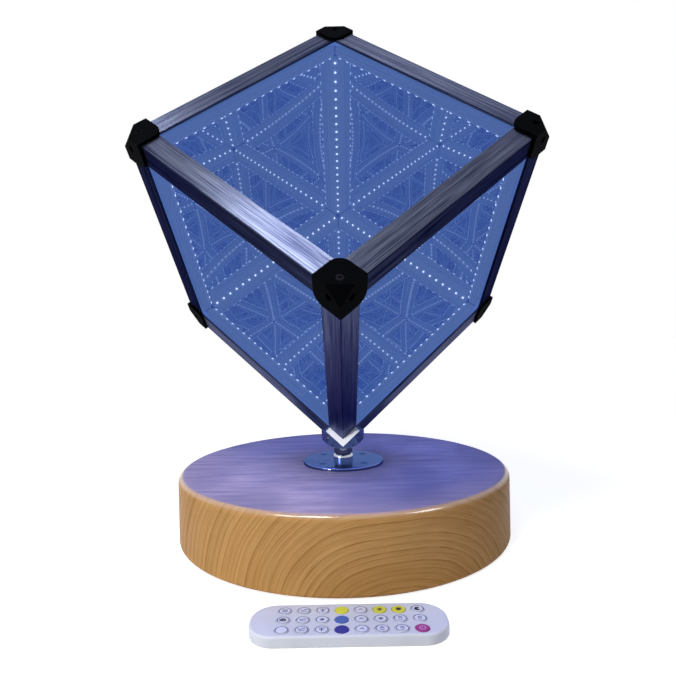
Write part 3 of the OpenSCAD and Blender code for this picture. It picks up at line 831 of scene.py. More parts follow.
@dataclass(frozen=True)
class PaneGlass:
    """Outer face of a two-way mirror: clear, with painted glow for the lit film behind it, and a faint gloss.

    Fields:
        clear: share and tint of the light that passes.
        haze, strength: colour and strength of the painted glow of the lit film seen from outside.
        gloss: share of mirror-like reflection.
    """

    clear: Rgb = (0.90, 0.92, 0.97)
    painted_glow: Rgb = (0.095, 0.225, 0.98)
    strength: float = 0.29
    gloss: float = 0.008

    def material(self) -> Material:
        """Builds the material.

        Returns:
            The material.
        """
        s = Shader("pane_glass")
        # Painted light: the face glows blue by emission in place of the strips' light scattered in the film.
        level = s.spread(s.noise(s.place(), 14.0), 0.95 * self.strength, 1.05 * self.strength)
        painted_glow = s.node("Emission", {"Color": rgba(self.painted_glow), "Strength": level})
        through = s.node("BsdfTransparent", {"Color": rgba(self.clear)})
        lit = s.node("AddShader", {0: painted_glow.outputs[0], 1: through.outputs[0]})
        gloss = s.node("BsdfGlossy", {"Color": rgba(WHITE), "Roughness": 0.05})
        return s.finish(s.blend(self.gloss, lit, gloss))


@dataclass(frozen=True)
class PaneFilm:
    """Half-silvered inner face: seen through from the glass, a mirror from inside the cube.

    Fields:
        clear: tint of what is seen through it.
        mirror: tint of what it reflects.
    """

    clear: Rgb = (0.92, 0.94, 1.0)
    mirror: Rgb = (0.86, 0.89, 0.93)

    def material(self) -> Material:
        """Builds the material.

        Returns:
            The material.
        """
        s = Shader("pane_film")
        worn = tuple(0.97 * c for c in self.mirror)
        tint = s.mix(s.spread(s.noise(s.place(), 30.0, 2.0)), self.mirror, worn)
        mirror = s.node("BsdfGlossy", {"Color": tint, "Roughness": 0.0})
        through = s.node("BsdfTransparent", {"Color": rgba(self.clear)})
        return s.finish(s.blend(s.node("NewGeometry").outputs["Backfacing"], mirror, through))


@dataclass(frozen=True)
class PaneRim:
    """Ground edge of a pane, with painted strip light in it as emission.

    Fields:
        glass: colour of the ground glass.
        glow, strength: colour and strength of the painted strip light in it.
    """

    glass: Rgb = (0.10, 0.16, 0.30)
    glow: Rgb = (0.50, 0.70, 1.0)
    strength: float = 0.09

    def material(self) -> Material:
        """Builds the material.

        Returns:
            The material.
        """
        s = Shader("pane_rim")
        grain = s.noise(s.place(), 900.0, 2.0)
        # Painted light: the edge glows by emission as if the strips lit it.
        return s.principled({
            "Base Color": rgba(self.glass), "Roughness": s.spread(grain, 0.4, 0.6),
            "Normal": s.bump(grain, 0.1), "Specular IOR Level": 0.1, "Emission Color": rgba(self.glow),
            "Emission Strength": s.spread(grain, 0.9 * self.strength, 1.1 * self.strength)})


@dataclass(frozen=True)
class CradleChrome:
    """Chrome with polished faces and matt sawn ends.

    Fields:
        axes: the cube, whose edges the ends are square to.
        face, end: colours of the faces and of the ends.
        metal: share of bare metal at the ends.
    """

    axes: CubeAxes
    face: Rgb = (0.30, 0.34, 0.47)
    end: Rgb = (0.80, 0.82, 0.86)
    metal: float = 0.30

    def material(self) -> Material:
        """Builds the material: an end is where the piece's own normal points up along one of the edges.

        Returns:
            The material.
        """
        s = Shader("cradle_chrome")
        coords = s.node("TexCoord").outputs
        marks = s.noise(coords["Object"], 70.0, 4.0)
        upward = [s.dot(coords["Normal"], tuple(axis)) for axis in self.axes.axes().T]
        end = s.ramp(s.chain("MAXIMUM", upward), 0.90, 0.95)
        return s.principled({
            "Base Color": s.mix(end, self.face, self.end), "Metallic": s.ramp(end, 0.0, 1.0, 1.0, self.metal),
            "Roughness": s.math("ADD", s.ramp(marks, 0.35, 0.7, 0.10, 0.18), s.math("MULTIPLY", end, 0.24)),
            "Normal": s.bump(marks, 0.03)})


@dataclass(frozen=True)
class LitChip:
    """Lens of a lit LED, brightest over its middle.

    Fields:
        core, rim: colours of its light over the middle and at the edge.
        body: colour of the unlit lens.
        strength: how bright it is.
    """

    core: Rgb = (0.80, 0.90, 1.0)
    rim: Rgb = (0.45, 0.62, 1.0)
    body: Rgb = (0.7, 0.75, 0.9)
    strength: float = 1.1

    def material(self) -> Material:
        """Builds the material from each vertex's note of whether it lies on a lens.

        Returns:
            The material.
        """
        s = Shader("lit_chip")
        high = s.node("Attribute", attribute_name="dome").outputs["Fac"]
        speck = s.spread(s.noise(s.place(), 2500.0, 1.0), 0.95, 1.05)
        power = s.math("MULTIPLY", s.ramp(high, 0.0, 0.9, 0.12, 1.0), speck)
        return s.principled({
            "Base Color": rgba(self.body), "Roughness": 0.3,
            "Emission Color": s.mix(high, self.rim, self.core),
            "Emission Strength": s.math("MULTIPLY", power, self.strength)})


@dataclass(frozen=True)
class LitStrip:
    """White strip with painted light of its LEDs, as emission, and with a pair of copper pads between each
    two.

    Fields:
        white, copper: colours of the strip and its pads.
        half: half the length of a pad, in pitches.
        near, far: where a pad starts and ends across the strip, from 0 in the middle to 1 at its edge.
        dim: share of the painted LED light on a pad.
    """

    white: Rgb = (0.62, 0.66, 0.80)
    copper: Rgb = (0.45, 0.26, 0.14)
    half: float = 0.10
    near: float = 0.35
    far: float = 0.8
    dim: float = 0.6

    def material(self) -> Material:
        """Builds the material from how far along the strip and across it a place is.

        Returns:
            The material.
        """
        s = Shader("lit_strip")
        along = s.node("Attribute", attribute_name="along").outputs["Fac"]
        across = s.math("ABSOLUTE", s.node("Attribute", attribute_name="across").outputs["Fac"])
        between = s.math("ABSOLUTE", s.math("SUBTRACT", s.math("FRACT", along), 0.5))
        pad = s.chain("MULTIPLY", [s.math("LESS_THAN", between, self.half),
                                   s.math("GREATER_THAN", across, self.near),
                                   s.math("LESS_THAN", across, self.far)])
        fine = s.noise(s.place(), 1800.0, 2.0)
        # Painted light: the strip glows by emission as if its LEDs lit it, its pads more faintly.
        return s.principled({
            "Base Color": s.mix(pad, self.white, self.copper), "Roughness": s.spread(fine, 0.35, 0.5),
            "Normal": s.bump(fine, 0.05), "Emission Color": rgba(PAINTED_STRIP_LIGHT),
            "Emission Strength": s.ramp(pad, 0.0, 1.0, PAINTED_STRIP_STRENGTH, self.dim * PAINTED_STRIP_STRENGTH)})


# The cube


@dataclass
class MirrorPanes:
    """Six two-way mirror panes, bent a little inwards between the rails that hold them.

    Fields:
        axes: where the cube stands.
        edge: distance from the cube's outer edge to a pane's edge.
        depth: distance from the cube's side to a pane's outer face.
        thick: thickness of a pane.
        clip: length clipped off each corner.
        frame: width of a rail, inside which a pane stays flat.
        bow: how far its middle is bent inwards.
        steps: grid steps along a side.
        sides: for each pane, the edge that it is square to, and 0 at its lower end or 1 at its upper.
    """

    axes: CubeAxes
    edge: float = 0.0093
    depth: float = 0.0021
    thick: float = 0.003
    clip: float = 0.012
    frame: float = 0.0155
    bow: float = 0.0014
    steps: int = 64
    sides: dict[str, tuple[int, int]] = field(default_factory=lambda: {
        "upper_front": (0, 1), "upper_right": (1, 1), "upper_left": (2, 1),
        "lower_back": (0, 0), "lower_left": (1, 0), "lower_right": (2, 0)})

    def sheet(self, depth: float) -> np.ndarray:
        """One face as a grid of two distances along the sides and one from the side inwards.

        A row's ends follow the clipped corners. The bend is a half wave of cosine each way.

        Args:
            depth: distance of the flat face from the cube's side.

        Returns:
            The grid, row by row, as points x 3.
        """
        low, high = self.edge, self.axes.edge - self.edge
        share = np.linspace(0, 1, self.steps + 1)
        v = np.broadcast_to((low + (high - low) * share)[:, None], (self.steps + 1, self.steps + 1))
        inset = np.maximum(0, self.clip - np.minimum(v - low, high - v))
        u = low + inset + (high - low - 2 * inset) * share[None, :]
        half = self.axes.edge / 2
        su, sv = np.clip(np.abs(np.stack([u, v]) - half) / (half - self.frame), 0, 1)
        bend = self.bow * np.cos(su * math.pi / 2) * np.cos(sv * math.pi / 2)
        return np.stack([u, v, depth + bend], -1).reshape(-1, 3)

    def pane(self, axis: int, side: int) -> list[Surface]:
        """The glass and the film of one pane.

        Args:
            axis: the edge direction that the pane is square to.
            side: 0 at the bottom corner's sides, 1 at the top corner's.

        Returns:
            The outer face, the inner face and the rim.
        """
        e = self.axes.axes()
        ways = np.stack([e[:, (axis + 1) % 3], e[:, (axis + 2) % 3], e[:, axis] * (1 - 2 * side)])
        start = self.axes.corner() + e[:, axis] * self.axes.edge * side
        outer, inner = (start + self.sheet(depth) @ ways for depth in (self.depth, self.depth + self.thick))
        n = self.steps + 1
        number = np.arange(n * n).reshape(n, n)
        loop = np.concatenate([number[0, :-1], number[:-1, -1], number[-1, :0:-1], number[:0:-1, 0]])
        after = np.roll(loop, -1)
        rim = np.stack([loop, after, after + n * n, loop + n * n], -1)
        glass, film = grid_quads(n, n), grid_quads(n, n)[:, ::-1]
        if side == 1:
            rim = rim[:, ::-1]
        else:
            glass, film = film, glass
        return [Surface(outer, glass, slot=0), Surface(inner, film, slot=1),
                Surface(np.concatenate([outer, inner]), rim, slot=2)]

    def build(self) -> None:
        """Makes the six panes in place of the flat CAD panels."""
        finishes = [PaneGlass().material(), PaneFilm().material(), PaneRim().material()]
        for name, (axis, side) in self.sides.items():
            pane = make_piece("mirror_pane_" + name, self.pane(axis, side), finishes, "cube")
            merge_doubles(pane)
            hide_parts("panel_" + name)


@dataclass
class LightStrips:
    """Twelve strips with their LEDs, one on the inner edge of each rail.

    Fields:
        axes: where the cube stands.
        seat: distance of the seat's middle from both of the cube's sides.
        margin: distance from a corner to the end of a strip.
        width, thick: section of a strip.
        chip, lens, high: width of an LED's body, radius of its lens, and its height.
        pitch, count: distance between LEDs and their number on a strip.
        steps: steps round an LED.
    """

    axes: CubeAxes
    seat: float = 0.0135
    margin: float = 0.018
    width: float = 0.005
    thick: float = 0.0005
    chip: float = 0.0028
    lens: float = 0.0010
    high: float = 0.0009
    pitch: float = 0.008
    count: int = 21
    steps: int = 12

    def first(self) -> float:
        """Distance of a strip's first LED from the start of its edge."""
        return self.axes.edge / 2 - self.pitch * (self.count - 1) / 2

    def edges(self) -> tuple[np.ndarray, np.ndarray]:
        """Start and directions of the twelve seats.

        Returns:
            Points at the edges' starts on the seats' middle lines, and the directions along, across
            and out of each seat, as 12 x 3 x 3 with the directions as columns.
        """
        e, edge = self.axes.axes(), self.axes.edge
        k, a, b = (g.ravel() for g in np.meshgrid(np.arange(3), (0, 1), (0, 1), indexing="ij"))
        i, j = (k + 1) % 3, (k + 2) % 3
        ei, ej, along = e[:, i].T, e[:, j].T, e[:, k].T
        in_i, in_j = ei * (1 - 2 * a)[:, None], ej * (1 - 2 * b)[:, None]
        start = self.axes.corner() + edge * (ei * a[:, None] + ej * b[:, None]) + self.seat * (in_i + in_j)
        out = (in_i + in_j) / math.sqrt(2)
        return start, np.stack([along, np.cross(out, along), out], -1)

    def ribbons(self) -> tuple[list[Surface], np.ndarray, np.ndarray]:
        """The strips: a flat section with rounded upper edges carried from end to end.

        Returns:
            The surfaces, and for each vertex how far along in pitches and how far across from -1 to 1.
        """
        y = np.array([-1.0, 1.0, 1.0, 0.94, -0.94, -1.0]) * self.width / 2
        z = np.array([0.0, 0.0, 0.7, 1.0, 1.0, 0.7]) * self.thick
        x = np.linspace(self.margin, self.axes.edge - self.margin, 2 * self.count + 1)
        n, m = len(x), len(y)
        local = np.stack([np.repeat(x, m), np.tile(y, n), np.tile(z, n)], -1)
        one = flipped(tube(local.reshape(n, m, 3)))
        start, turn = self.edges()
        parts = [moved(one, at, way) for at, way in zip(start, turn)]
        along = np.tile((local[:, 0] - self.first()) / self.pitch, len(start))
        return parts, along, np.tile(local[:, 1] / (self.width / 2), len(start))

    def chips(self) -> tuple[Surface, np.ndarray]:
        """All LEDs: at each place the same boxy body, whose sides are a superellipse, under a round lens.

        Returns:
            The surface, and for each vertex whether it lies on the lens, 1, or on the body, 0.
        """
        angle = full_turn(self.steps) + math.pi / self.steps
        box = 0.5 * self.chip / np.maximum(np.abs(np.cos(angle)), np.abs(np.sin(angle))) ** 0.8
        lens = [np.full(self.steps, share * self.lens) for share in (1.06, 1.0, 0.72)]
        radius = np.stack([box, box, *lens])
        rise = np.array([0.0, 0.55, 0.60, 0.64, 0.92])[:, None] * self.high
        one = capped(rings_of(radius, rise, angle), 0.0, self.high)
        on_lens = np.concatenate([np.repeat([0.0, 0.0, 0.0, 1.0, 1.0], self.steps), [0.0, 1.0]])
        at = np.zeros((self.count, 1, 3))
        at[:, 0, 0] = self.first() + self.pitch * np.arange(self.count)
        at[:, 0, 2] = self.thick
        row = (one.points[None] + at).reshape(-1, 3)
        start, turn = self.edges()
        points = (start[:, None, :] + np.einsum("eij,pj->epi", turn, row)).reshape(-1, 3)
        total = len(start) * self.count
        shift = (np.arange(total) * len(one.points))[:, None, None]
        quads, tris = (one.quads[None] + shift).reshape(-1, 4), (one.tris[None] + shift).reshape(-1, 3)
        return Surface(points, quads, tris), np.tile(on_lens, total)

    def build(self) -> None:
        """Makes the strips and their LEDs in place of the CAD strips."""
        parts, along, across = self.ribbons()
        strips = make_piece("strip_ribbons", parts, [LitStrip().material()], "cube")
        add_values(strips, "along", along)
        add_values(strips, "across", across)
        lens, high = self.chips()
        chips = make_piece("led_chips", [lens], [LitChip().material()], "cube")
        add_values(chips, "dome", high)
        for piece in (strips, chips):
            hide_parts("light_strips")


@dataclass
class CubeFrame:
    """Rails, caps, corner blocks and their screws, dressed as the CAD has them.

    Fields:
        axes: where the cube stands.
    """

    axes: CubeAxes

    def dress(self) -> None:
        """Gives each node of the frame its finish."""
        dress(BrushedAluminium(self.axes), "lower_rails", "upper_rails")
        # The middle rails get painted shade on their downward faces.
        dress(BrushedAluminium(self.axes, "painted_shade_aluminium", shade=0.55), "middle_rails")
        dress(Moulded("black_caps", (0.0016, 0.0018, 0.0026), 0.55, 1100.0, 0.10, 0.004),
              "top_cap", "upper_caps", "lower_caps", "corner_blocks")
        dress(Polished("black_screws", (0.005, 0.005, 0.007), 0.35, 0.50, (0.05, 0.05, 0.06)), "cap_screws")


# Stem and base


@dataclass
class Stem:
    """Cradle, nuts, collar, tube and flange plate under the cube.

    Fields:
        axes: where the cube stands.
        across: width of a nut across its flats.
        high: height of a nut.
        bore, lead: bore of a nut and the bevel at its ends.
        lows: heights of the nuts' undersides.
        flat: radius of a nut's flat face, as a share of its width.
        bevel: slope of the bevel at a nut's corners.
        steps: steps round a nut.
    """

    axes: CubeAxes
    across: float = 0.013
    high: float = 0.0045
    bore: float = 0.0101
    lead: float = 0.0004
    lows: tuple[float, ...] = (0.0275, 0.0573, 0.0720)
    flat: float = 0.485
    bevel: float = math.tan(math.radians(28.0))
    steps: int = 96

    def nut(self) -> Surface:
        """A hexagon nut: at each angle the hexagon's radius, bevelled above and below by a cone.

        Returns:
            The nut, standing on z = 0 with a flat towards the front.
        """
        angle = full_turn(self.steps)
        hexagon = self.across / 2 / np.cos(np.mod(angle, math.pi / 3) - math.pi / 6)
        rim = np.full(self.steps, self.flat * self.across)
        drop = (hexagon - rim) * self.bevel
        hole = np.full(self.steps, self.bore / 2)
        mouth = hole + self.lead
        low, top = np.zeros(self.steps), np.full(self.steps, self.high)
        radius = np.stack([hole, mouth, rim, hexagon, hexagon, rim, mouth, hole])
        height = np.stack([low + self.lead, low, low, drop, top - drop, top, top, top - self.lead])
        sections = rings_of(radius, height, angle).swapaxes(0, 1)
        return tube(sections, closed=True)

    def build(self) -> None:
        """Makes the nuts and dresses the rest of the stem."""
        dark = Polished("dark_chrome", (0.20, 0.21, 0.25), 0.10, 0.20).material()
        one = self.nut()
        nuts = make_piece("bevelled_nuts", [moved(one, (0, 0, z)) for z in self.lows], [dark], "base", 25.0)
        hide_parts("stem_nuts")
        dress(Polished("chrome", (0.52, 0.54, 0.60), 0.08, 0.16), "stem_tube", "stem_ring")
        dress(CradleChrome(self.axes), "corner_cradle")
        # Painted reflection: the flange plate's chrome is tinted blue for the cube's light on it.
        dress(Polished("chrome_painted_blue", (0.13, 0.17, 0.36), 0.10, 0.20, (0.35, 0.42, 0.65)), "flange_plate")
        dress(Polished("socket_screws", (0.35, 0.36, 0.40), 0.16, 0.30), "cradle_screws")


@dataclass
class CrossScrews:
    """Countersunk wood screws with a cross recess.

    Fields:
        head, shank, tip: radii of the head, the shank and the blunt point.
        sink, length, blunt: height of the head, whole length, and height of the point's end.
        arm, wide, deep: reach, half width and depth of the cross.
        slope, taper: shares of its half width and of its reach over which the cross gets deep.
        flange: distance of the flange's screws from the axis along x and y, and their heads' height.
        cover: distance of the cover's screws from the axis, and their heads' height.
        inlet: x, y and z of the heads on the inlet plate.
        steps: steps round a screw.
    """

    head: float = 0.003
    shank: float = 0.0015
    tip: float = 0.35 * 0.0015
    sink: float = 0.0017
    length: float = 0.014
    blunt: float = 0.0004
    arm: float = 0.0017
    wide: float = 0.00045
    deep: float = 0.0011
    slope: float = 0.35
    taper: float = 0.5
    flange: tuple[float, float] = (0.0163, 0.0525)
    cover: tuple[float, float] = (0.093, 0.002)
    inlet: tuple[float, float, float] = (0.011, 0.128, 0.024)
    steps: int = 64

    def screw(self) -> Surface:
        """One screw: a polar grid over the head, sunk along a cross, then its sides down to the point.

        Returns:
            The screw with its head face at z = 0 and its point towards -Z.
        """
        angle = full_turn(self.steps)
        radius = np.concatenate([np.linspace(0.06, 0.66, 11), [0.80, 0.95, 1.0]]) * self.head
        head = rings_of(radius[:, None], 0.0, angle)
        away = np.abs(head[..., :2])
        wall = np.clip((self.wide - away.min(-1)) / (self.slope * self.wide), 0, 1)
        reach = np.clip((self.arm - away.max(-1)) / (self.taper * self.arm), 0, 1)
        head[..., 2] = -self.deep * wall * reach
        low_r = np.array([self.shank, self.shank, self.tip])
        low_z = np.array([-self.sink, 2 * self.shank - self.length, self.blunt - self.length])
        side = rings_of(low_r[:, None], low_z[:, None], angle)
        return flipped(capped(np.concatenate([head, side]), -self.deep, -self.length))

    def build(self) -> None:
        """Makes the ten screws of the flange, the cover and the inlet plate."""
        one = self.screw()
        signs = [(x, y) for x in (-1, 1) for y in (-1, 1)]
        at, z = self.flange
        parts = [moved(one, (x * at, y * at, z)) for x, y in signs]
        at, z = self.cover
        under = np.diag([1.0, -1.0, -1.0])
        side = at / math.sqrt(2)
        parts += [moved(one, (x * side, y * side, z), under, 1) for x, y in signs]
        at, y, z = self.inlet
        back = np.array([[1.0, 0.0, 0.0], [0.0, 0.0, 1.0], [0.0, -1.0, 0.0]])
        parts += [moved(one, (x * at, y, z), back, 1) for x in (-1, 1)]
        steel = Polished("plated_screws", (0.50, 0.52, 0.57), 0.12, 0.26).material()
        # The flange's screws are tinted blue like the flange plate they hold.
        flange_blue = Polished("blue_flange_screws", (0.10, 0.13, 0.28), 0.16, 0.28, (0.30, 0.36, 0.55)).material()
        screws = make_piece("cross_screws", parts, [flange_blue, steel], "base", 30.0)
        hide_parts("wood_screws")


class Base:
    """Wooden base with its cover, pad, electronics and power inlet."""

    def dress(self) -> None:
        """Gives each node of the base its finish."""
        dress(Wood(), "base_block")
        dress(Moulded("cover_plastic", (0.045, 0.045, 0.05), 0.5, 800.0, 0.15), "base_cover")
        dress(Moulded("pad_foam", (0.016, 0.016, 0.017), 0.85, 600.0, 0.5), "base_pad")
        dress(Moulded("inlet_plastic", (0.010, 0.010, 0.012), 0.4, 1200.0, 0.10), "inlet_plate", "dc_inlet")
        dress(Polished("inlet_steel", (0.52, 0.53, 0.56), 0.18, 0.32), "inlet_nut")
        dress(CircuitBoard(), "controller_board", "remote_board")
        dress(Moulded("lead_sheath", (0.012, 0.012, 0.013), 0.5, 500.0, 0.1), "inner_leads")


# The remote


class Icon(Enum):
    """Plain signs on the remote's keys."""

    BLANK = 0
    BARS = 1
    WAVE = 2
    FORK = 3
    DASH = 4
    SMALL_SUN = 5
    LARGE_SUN = 6
    MOON = 7
    SWIRL = 8
    STAR = 9
    CHEVRONS = 10
    POWER = 11


class KeyTone(Enum):
    """Colours of the keys' caps."""

    WHITE = (0.69, 0.705, 0.76)
    YELLOW = (0.72, 0.70, 0.055)
    BLUE = (0.065, 0.135, 0.42)
    NAVY = (0.026, 0.030, 0.24)
    MAGENTA = (0.37, 0.035, 0.22)


class IconPen:
    """Draws the keys' signs as low printed lines; their own sizes are millimetres round a key's middle.

    Fields:
        line, height: width and height of a printed line.
    """

    line: float = 0.00042
    height: float = 0.00006

    def draw(self, icon: Icon) -> list[Surface]:
        """The lines of one sign.

        Args:
            icon: which sign.

        Returns:
            Its surfaces, lying on z = 0.
        """
        return {
            Icon.BLANK: self.blank, Icon.BARS: self.bars, Icon.WAVE: self.wave, Icon.FORK: self.fork,
            Icon.DASH: self.dash, Icon.SMALL_SUN: self.small_sun, Icon.LARGE_SUN: self.large_sun,
            Icon.MOON: self.moon, Icon.SWIRL: self.swirl, Icon.STAR: self.star, Icon.CHEVRONS: self.chevrons,
            Icon.POWER: self.power}[icon]()

    def path(self, points: Sequence[Place], width: float = 1.0) -> Surface:
        """A line through points, with extra points between them.

        Args:
            points: x and y of each point.
            width: the line's width, as a share of the pen's.

        Returns:
            The line.
        """
        given = np.asarray(points, float) / 1000
        at = np.linspace(0, len(given) - 1, 6 * (len(given) - 1) + 1)
        dense = np.stack([np.interp(at, np.arange(len(given)), given[:, q]) for q in (0, 1)], -1)
        return stroke(dense, self.line * width, self.height)

    def arc(self, radius: float, start: float, end: float, width: float = 1.0) -> Surface:
        """A round line from one angle in degrees to another."""
        angle = np.radians(np.linspace(start, end, 28))
        return stroke(radius / 1000 * circle(angle), self.line * width, self.height)

    def blank(self) -> list[Surface]:
        """No sign."""
        return []

    def bars(self) -> list[Surface]:
        """Four level bars."""
        return [self.path([(-1.5, y), (1.5, y)], 0.9) for y in (-1.2, -0.4, 0.4, 1.2)]

    def wave(self) -> list[Surface]:
        """One wave over a shorter one.

        Returns:
            Its two lines.
        """
        x = np.linspace(-1.9, 1.9, 19)
        upper = np.stack([x, 0.6 + 0.5 * np.sin(x * 2.0)], -1)
        lower = np.stack([0.7 * x, -0.9 + 0.3 * np.sin(x * 2.0)], -1)
        return [self.path(upper, 1.3), self.path(lower, 1.1)]

    def fork(self) -> list[Surface]:
        """A mast with two level arms."""
        return [self.path([(0, -1.9), (0, 1.5)], 1.3), self.path([(-1.7, 1.2), (1.7, 1.2)], 1.3),
                self.path([(-1.2, -0.2), (1.2, -0.2)], 1.2)]

    def dash(self) -> list[Surface]:
        """A short roof."""
        return [self.path([(-1.0, -0.2), (0, 0.6), (1.0, -0.2)], 1.6)]

    def sun(self, core: float, ray: float) -> list[Surface]:
        """A filled disc and eight rays.

        Args:
            core: radius of the disc.
            ray: length of a ray.

        Returns:
            The disc and the rays.
        """
        near, far = core + 0.25, core + 0.25 + ray
        ways = circle(np.radians(np.arange(0, 360, 45)))
        return [dome(core / 1000, self.height), *(self.path([near * way, far * way]) for way in ways)]

    def small_sun(self) -> list[Surface]:
        """A small sun."""
        return self.sun(1.0, 0.5)

    def large_sun(self) -> list[Surface]:
        """A large sun."""
        return self.sun(1.35, 0.6)

    def moon(self) -> list[Surface]:
        """A heavy crescent."""
        return [self.arc(1.25, 40, 320, 2.8), self.arc(0.5, 60, 300, 2.6)]

    def swirl(self) -> list[Surface]:
        """A spiral of a little more than one and a half turns."""
        t = np.linspace(0, 1, 40)
        return [self.path((0.2 + 1.5 * t)[:, None] * circle(t * 3.2 * math.pi), 1.9)]

    def star(self) -> list[Surface]:
        """Four crossed lines round a dot."""
        ways = 1.4 * circle(np.radians((0, 45, 90, 135)))
        return [dome(0.0007, self.height), *(self.path([-way, way], 0.9) for way in ways)]

    def chevrons(self) -> list[Surface]:
        """Two stacked chevrons and a bar."""
        roofs = [self.path([(-1.1, y), (0, y + 0.8), (1.1, y)], 1.2) for y in (-0.2, 0.9)]
        return [*roofs, self.path([(-1.0, -1.3), (1.0, -1.3)], 1.2)]

    def power(self) -> list[Surface]:
        """A broken ring with a mast."""
        return [self.arc(1.5, 125, 415, 1.2), self.path([(0, 0.3), (0, 2.0)], 1.2)]


@dataclass
class Remote:
    """Slim remote with three rows of keys, a ring round most keys and a sign on most.

    Fields:
        ring, ring_width: radius and width of the printed rings.
        slate, ink, pale: colours of the prints.
        signs: the sign on each key, row by row from the back.
        tones: colour of each key that isn't white, by row and column from 1.
    """

    ring: float = 0.00312
    ring_width: float = 0.00044
    slate: Rgb = (0.050, 0.062, 0.185)
    ink: Rgb = (0.012, 0.012, 0.020)
    pale: Rgb = (0.62, 0.40, 0.60)
    signs: tuple[tuple[Icon, ...], ...] = (
        (Icon.BARS, Icon.WAVE, Icon.FORK, Icon.BLANK, Icon.DASH, Icon.SMALL_SUN, Icon.LARGE_SUN, Icon.MOON),
        (Icon.SWIRL, Icon.WAVE, Icon.STAR, Icon.BLANK, Icon.DASH, Icon.STAR, Icon.CHEVRONS, Icon.CHEVRONS),
        (Icon.BLANK, Icon.WAVE, Icon.FORK, Icon.BLANK, Icon.DASH, Icon.CHEVRONS, Icon.CHEVRONS, Icon.POWER))
    tones: dict[tuple[int, int], KeyTone] = field(default_factory=lambda: {
        (1, 4): KeyTone.YELLOW, (1, 6): KeyTone.YELLOW, (1, 7): KeyTone.YELLOW,
        (2, 4): KeyTone.BLUE, (3, 4): KeyTone.NAVY, (3, 8): KeyTone.MAGENTA})

    def keys(self) -> list[tuple[int, int]]:
        """Row from the back and column from the left of each key, from 1."""
        return [(row, col) for row, signs in enumerate(self.signs, 1) for col, _ in enumerate(signs, 1)]

    def tone(self, row: int, col: int) -> KeyTone:
        """Colour of one key."""
        return self.tones.get((row, col), KeyTone.WHITE)

    def print_of(self, row: int, col: int) -> list[Surface]:
        """The ring and the sign of one key, on its cap.

        Args:
            row: row from the back, from 1.
            col: column from the left, from 1.

        Returns:
            Their surfaces in the part's frame; slot 0 is slate, slot 1 ink and slot 2 pale.
        """
        icon = self.signs[row - 1][col - 1]
        low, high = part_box(f"key_{row}_{col}")
        at = ((low.x + high.x) / 2, (low.y + high.y) / 2, high.z)
        slot = 0
        if icon in (Icon.SMALL_SUN, Icon.LARGE_SUN, Icon.MOON, Icon.SWIRL):
            slot = 1
        elif icon is Icon.POWER:
            slot = 2
        parts = [moved(p, at, slot=slot) for p in IconPen().draw(icon)]
        if self.tone(row, col) is KeyTone.WHITE:
            line = stroke(self.ring * circle(full_turn(48)), self.ring_width, IconPen.height, True)
            parts.insert(0, moved(line, at, slot=0))
        return parts

    def build(self) -> None:
        """Dresses the case and the keys and prints the signs."""
        dress(Moulded("remote_case", (0.645, 0.665, 0.695), 0.36, 2200.0, 0.04),
              "remote_top", "remote_bottom", "battery_tray")
        dress(Polished("cell_steel", (0.6, 0.61, 0.62), 0.2, 0.3), "coin_cell")
        for tone in KeyTone:
            alike = [f"key_{row}_{col}" for row, col in self.keys() if self.tone(row, col) is tone]
            dress(Moulded("key_" + tone.name.lower(), tone.value, 0.42, 2600.0, 0.05), *alike)
        colours = {"print_slate": self.slate, "print_ink": self.ink, "print_pale": self.pale}
        inks = [Moulded(name, colour, 0.5, 3000.0, 0.03).material() for name, colour in colours.items()]
        for row, col in self.keys():
            parts = self.print_of(row, col)
            if parts:
                make_piece(f"print_{row}_{col}", parts, inks, f"key_{row}_{col}")


# The studio


@dataclass(frozen=True)
class Lamp:
    """A lamp of the studio, which the camera doesn't see.

    Fields:
        name: its name.
        at, aim: where it stands and the point that it faces.
        power: its power in watts.
        size: width of its square face, or the radius of a narrow lamp.
        colour: its colour.
        cone_deg: the whole angle of a narrow lamp's cone, 0 for a square one.
        blur: share of the cone that is soft.
    """

    name: str
    at: Place
    aim: Place
    power: float
    size: float
    colour: Rgb = WHITE
    cone_deg: float = 0.0
    blur: float = 0.6

    def hang(self) -> bpy.types.Object:
        """Puts the lamp in the scene and turns it to its point.

        Returns:
            The lamp's object.
        """
        data = bpy.data.lights.new(self.name, "SPOT" if self.cone_deg else "AREA")
        if self.cone_deg:
            data.spot_size = math.radians(self.cone_deg)
            data.spot_blend = self.blur
            data.shadow_soft_size = self.size
        else:
            data.shape = "SQUARE"
            data.size = self.size
        data.energy = self.power
        data.color = self.colour
        lamp = bpy.data.objects.new(self.name, data)
        bpy.context.scene.collection.objects.link(lamp)
        lamp.location = self.at
        lamp.rotation_euler = (Vector(self.aim) - Vector(self.at)).to_track_quat("-Z", "Y").to_euler()
        lamp.visible_camera = False
        return lamp

    def gleam(self, node: str) -> None:
        """Puts the lamp in the scene so that it shows only in reflections and only on one CAD node.

        Args:
            node: the CAD node's name.
        """
        lamp = self.hang()
        lamp.visible_diffuse = False
        lit = bpy.data.collections.new(self.name)
        lit.objects.link(frame["nodes"][node])
        lamp.light_linking.receiver_collection = lit


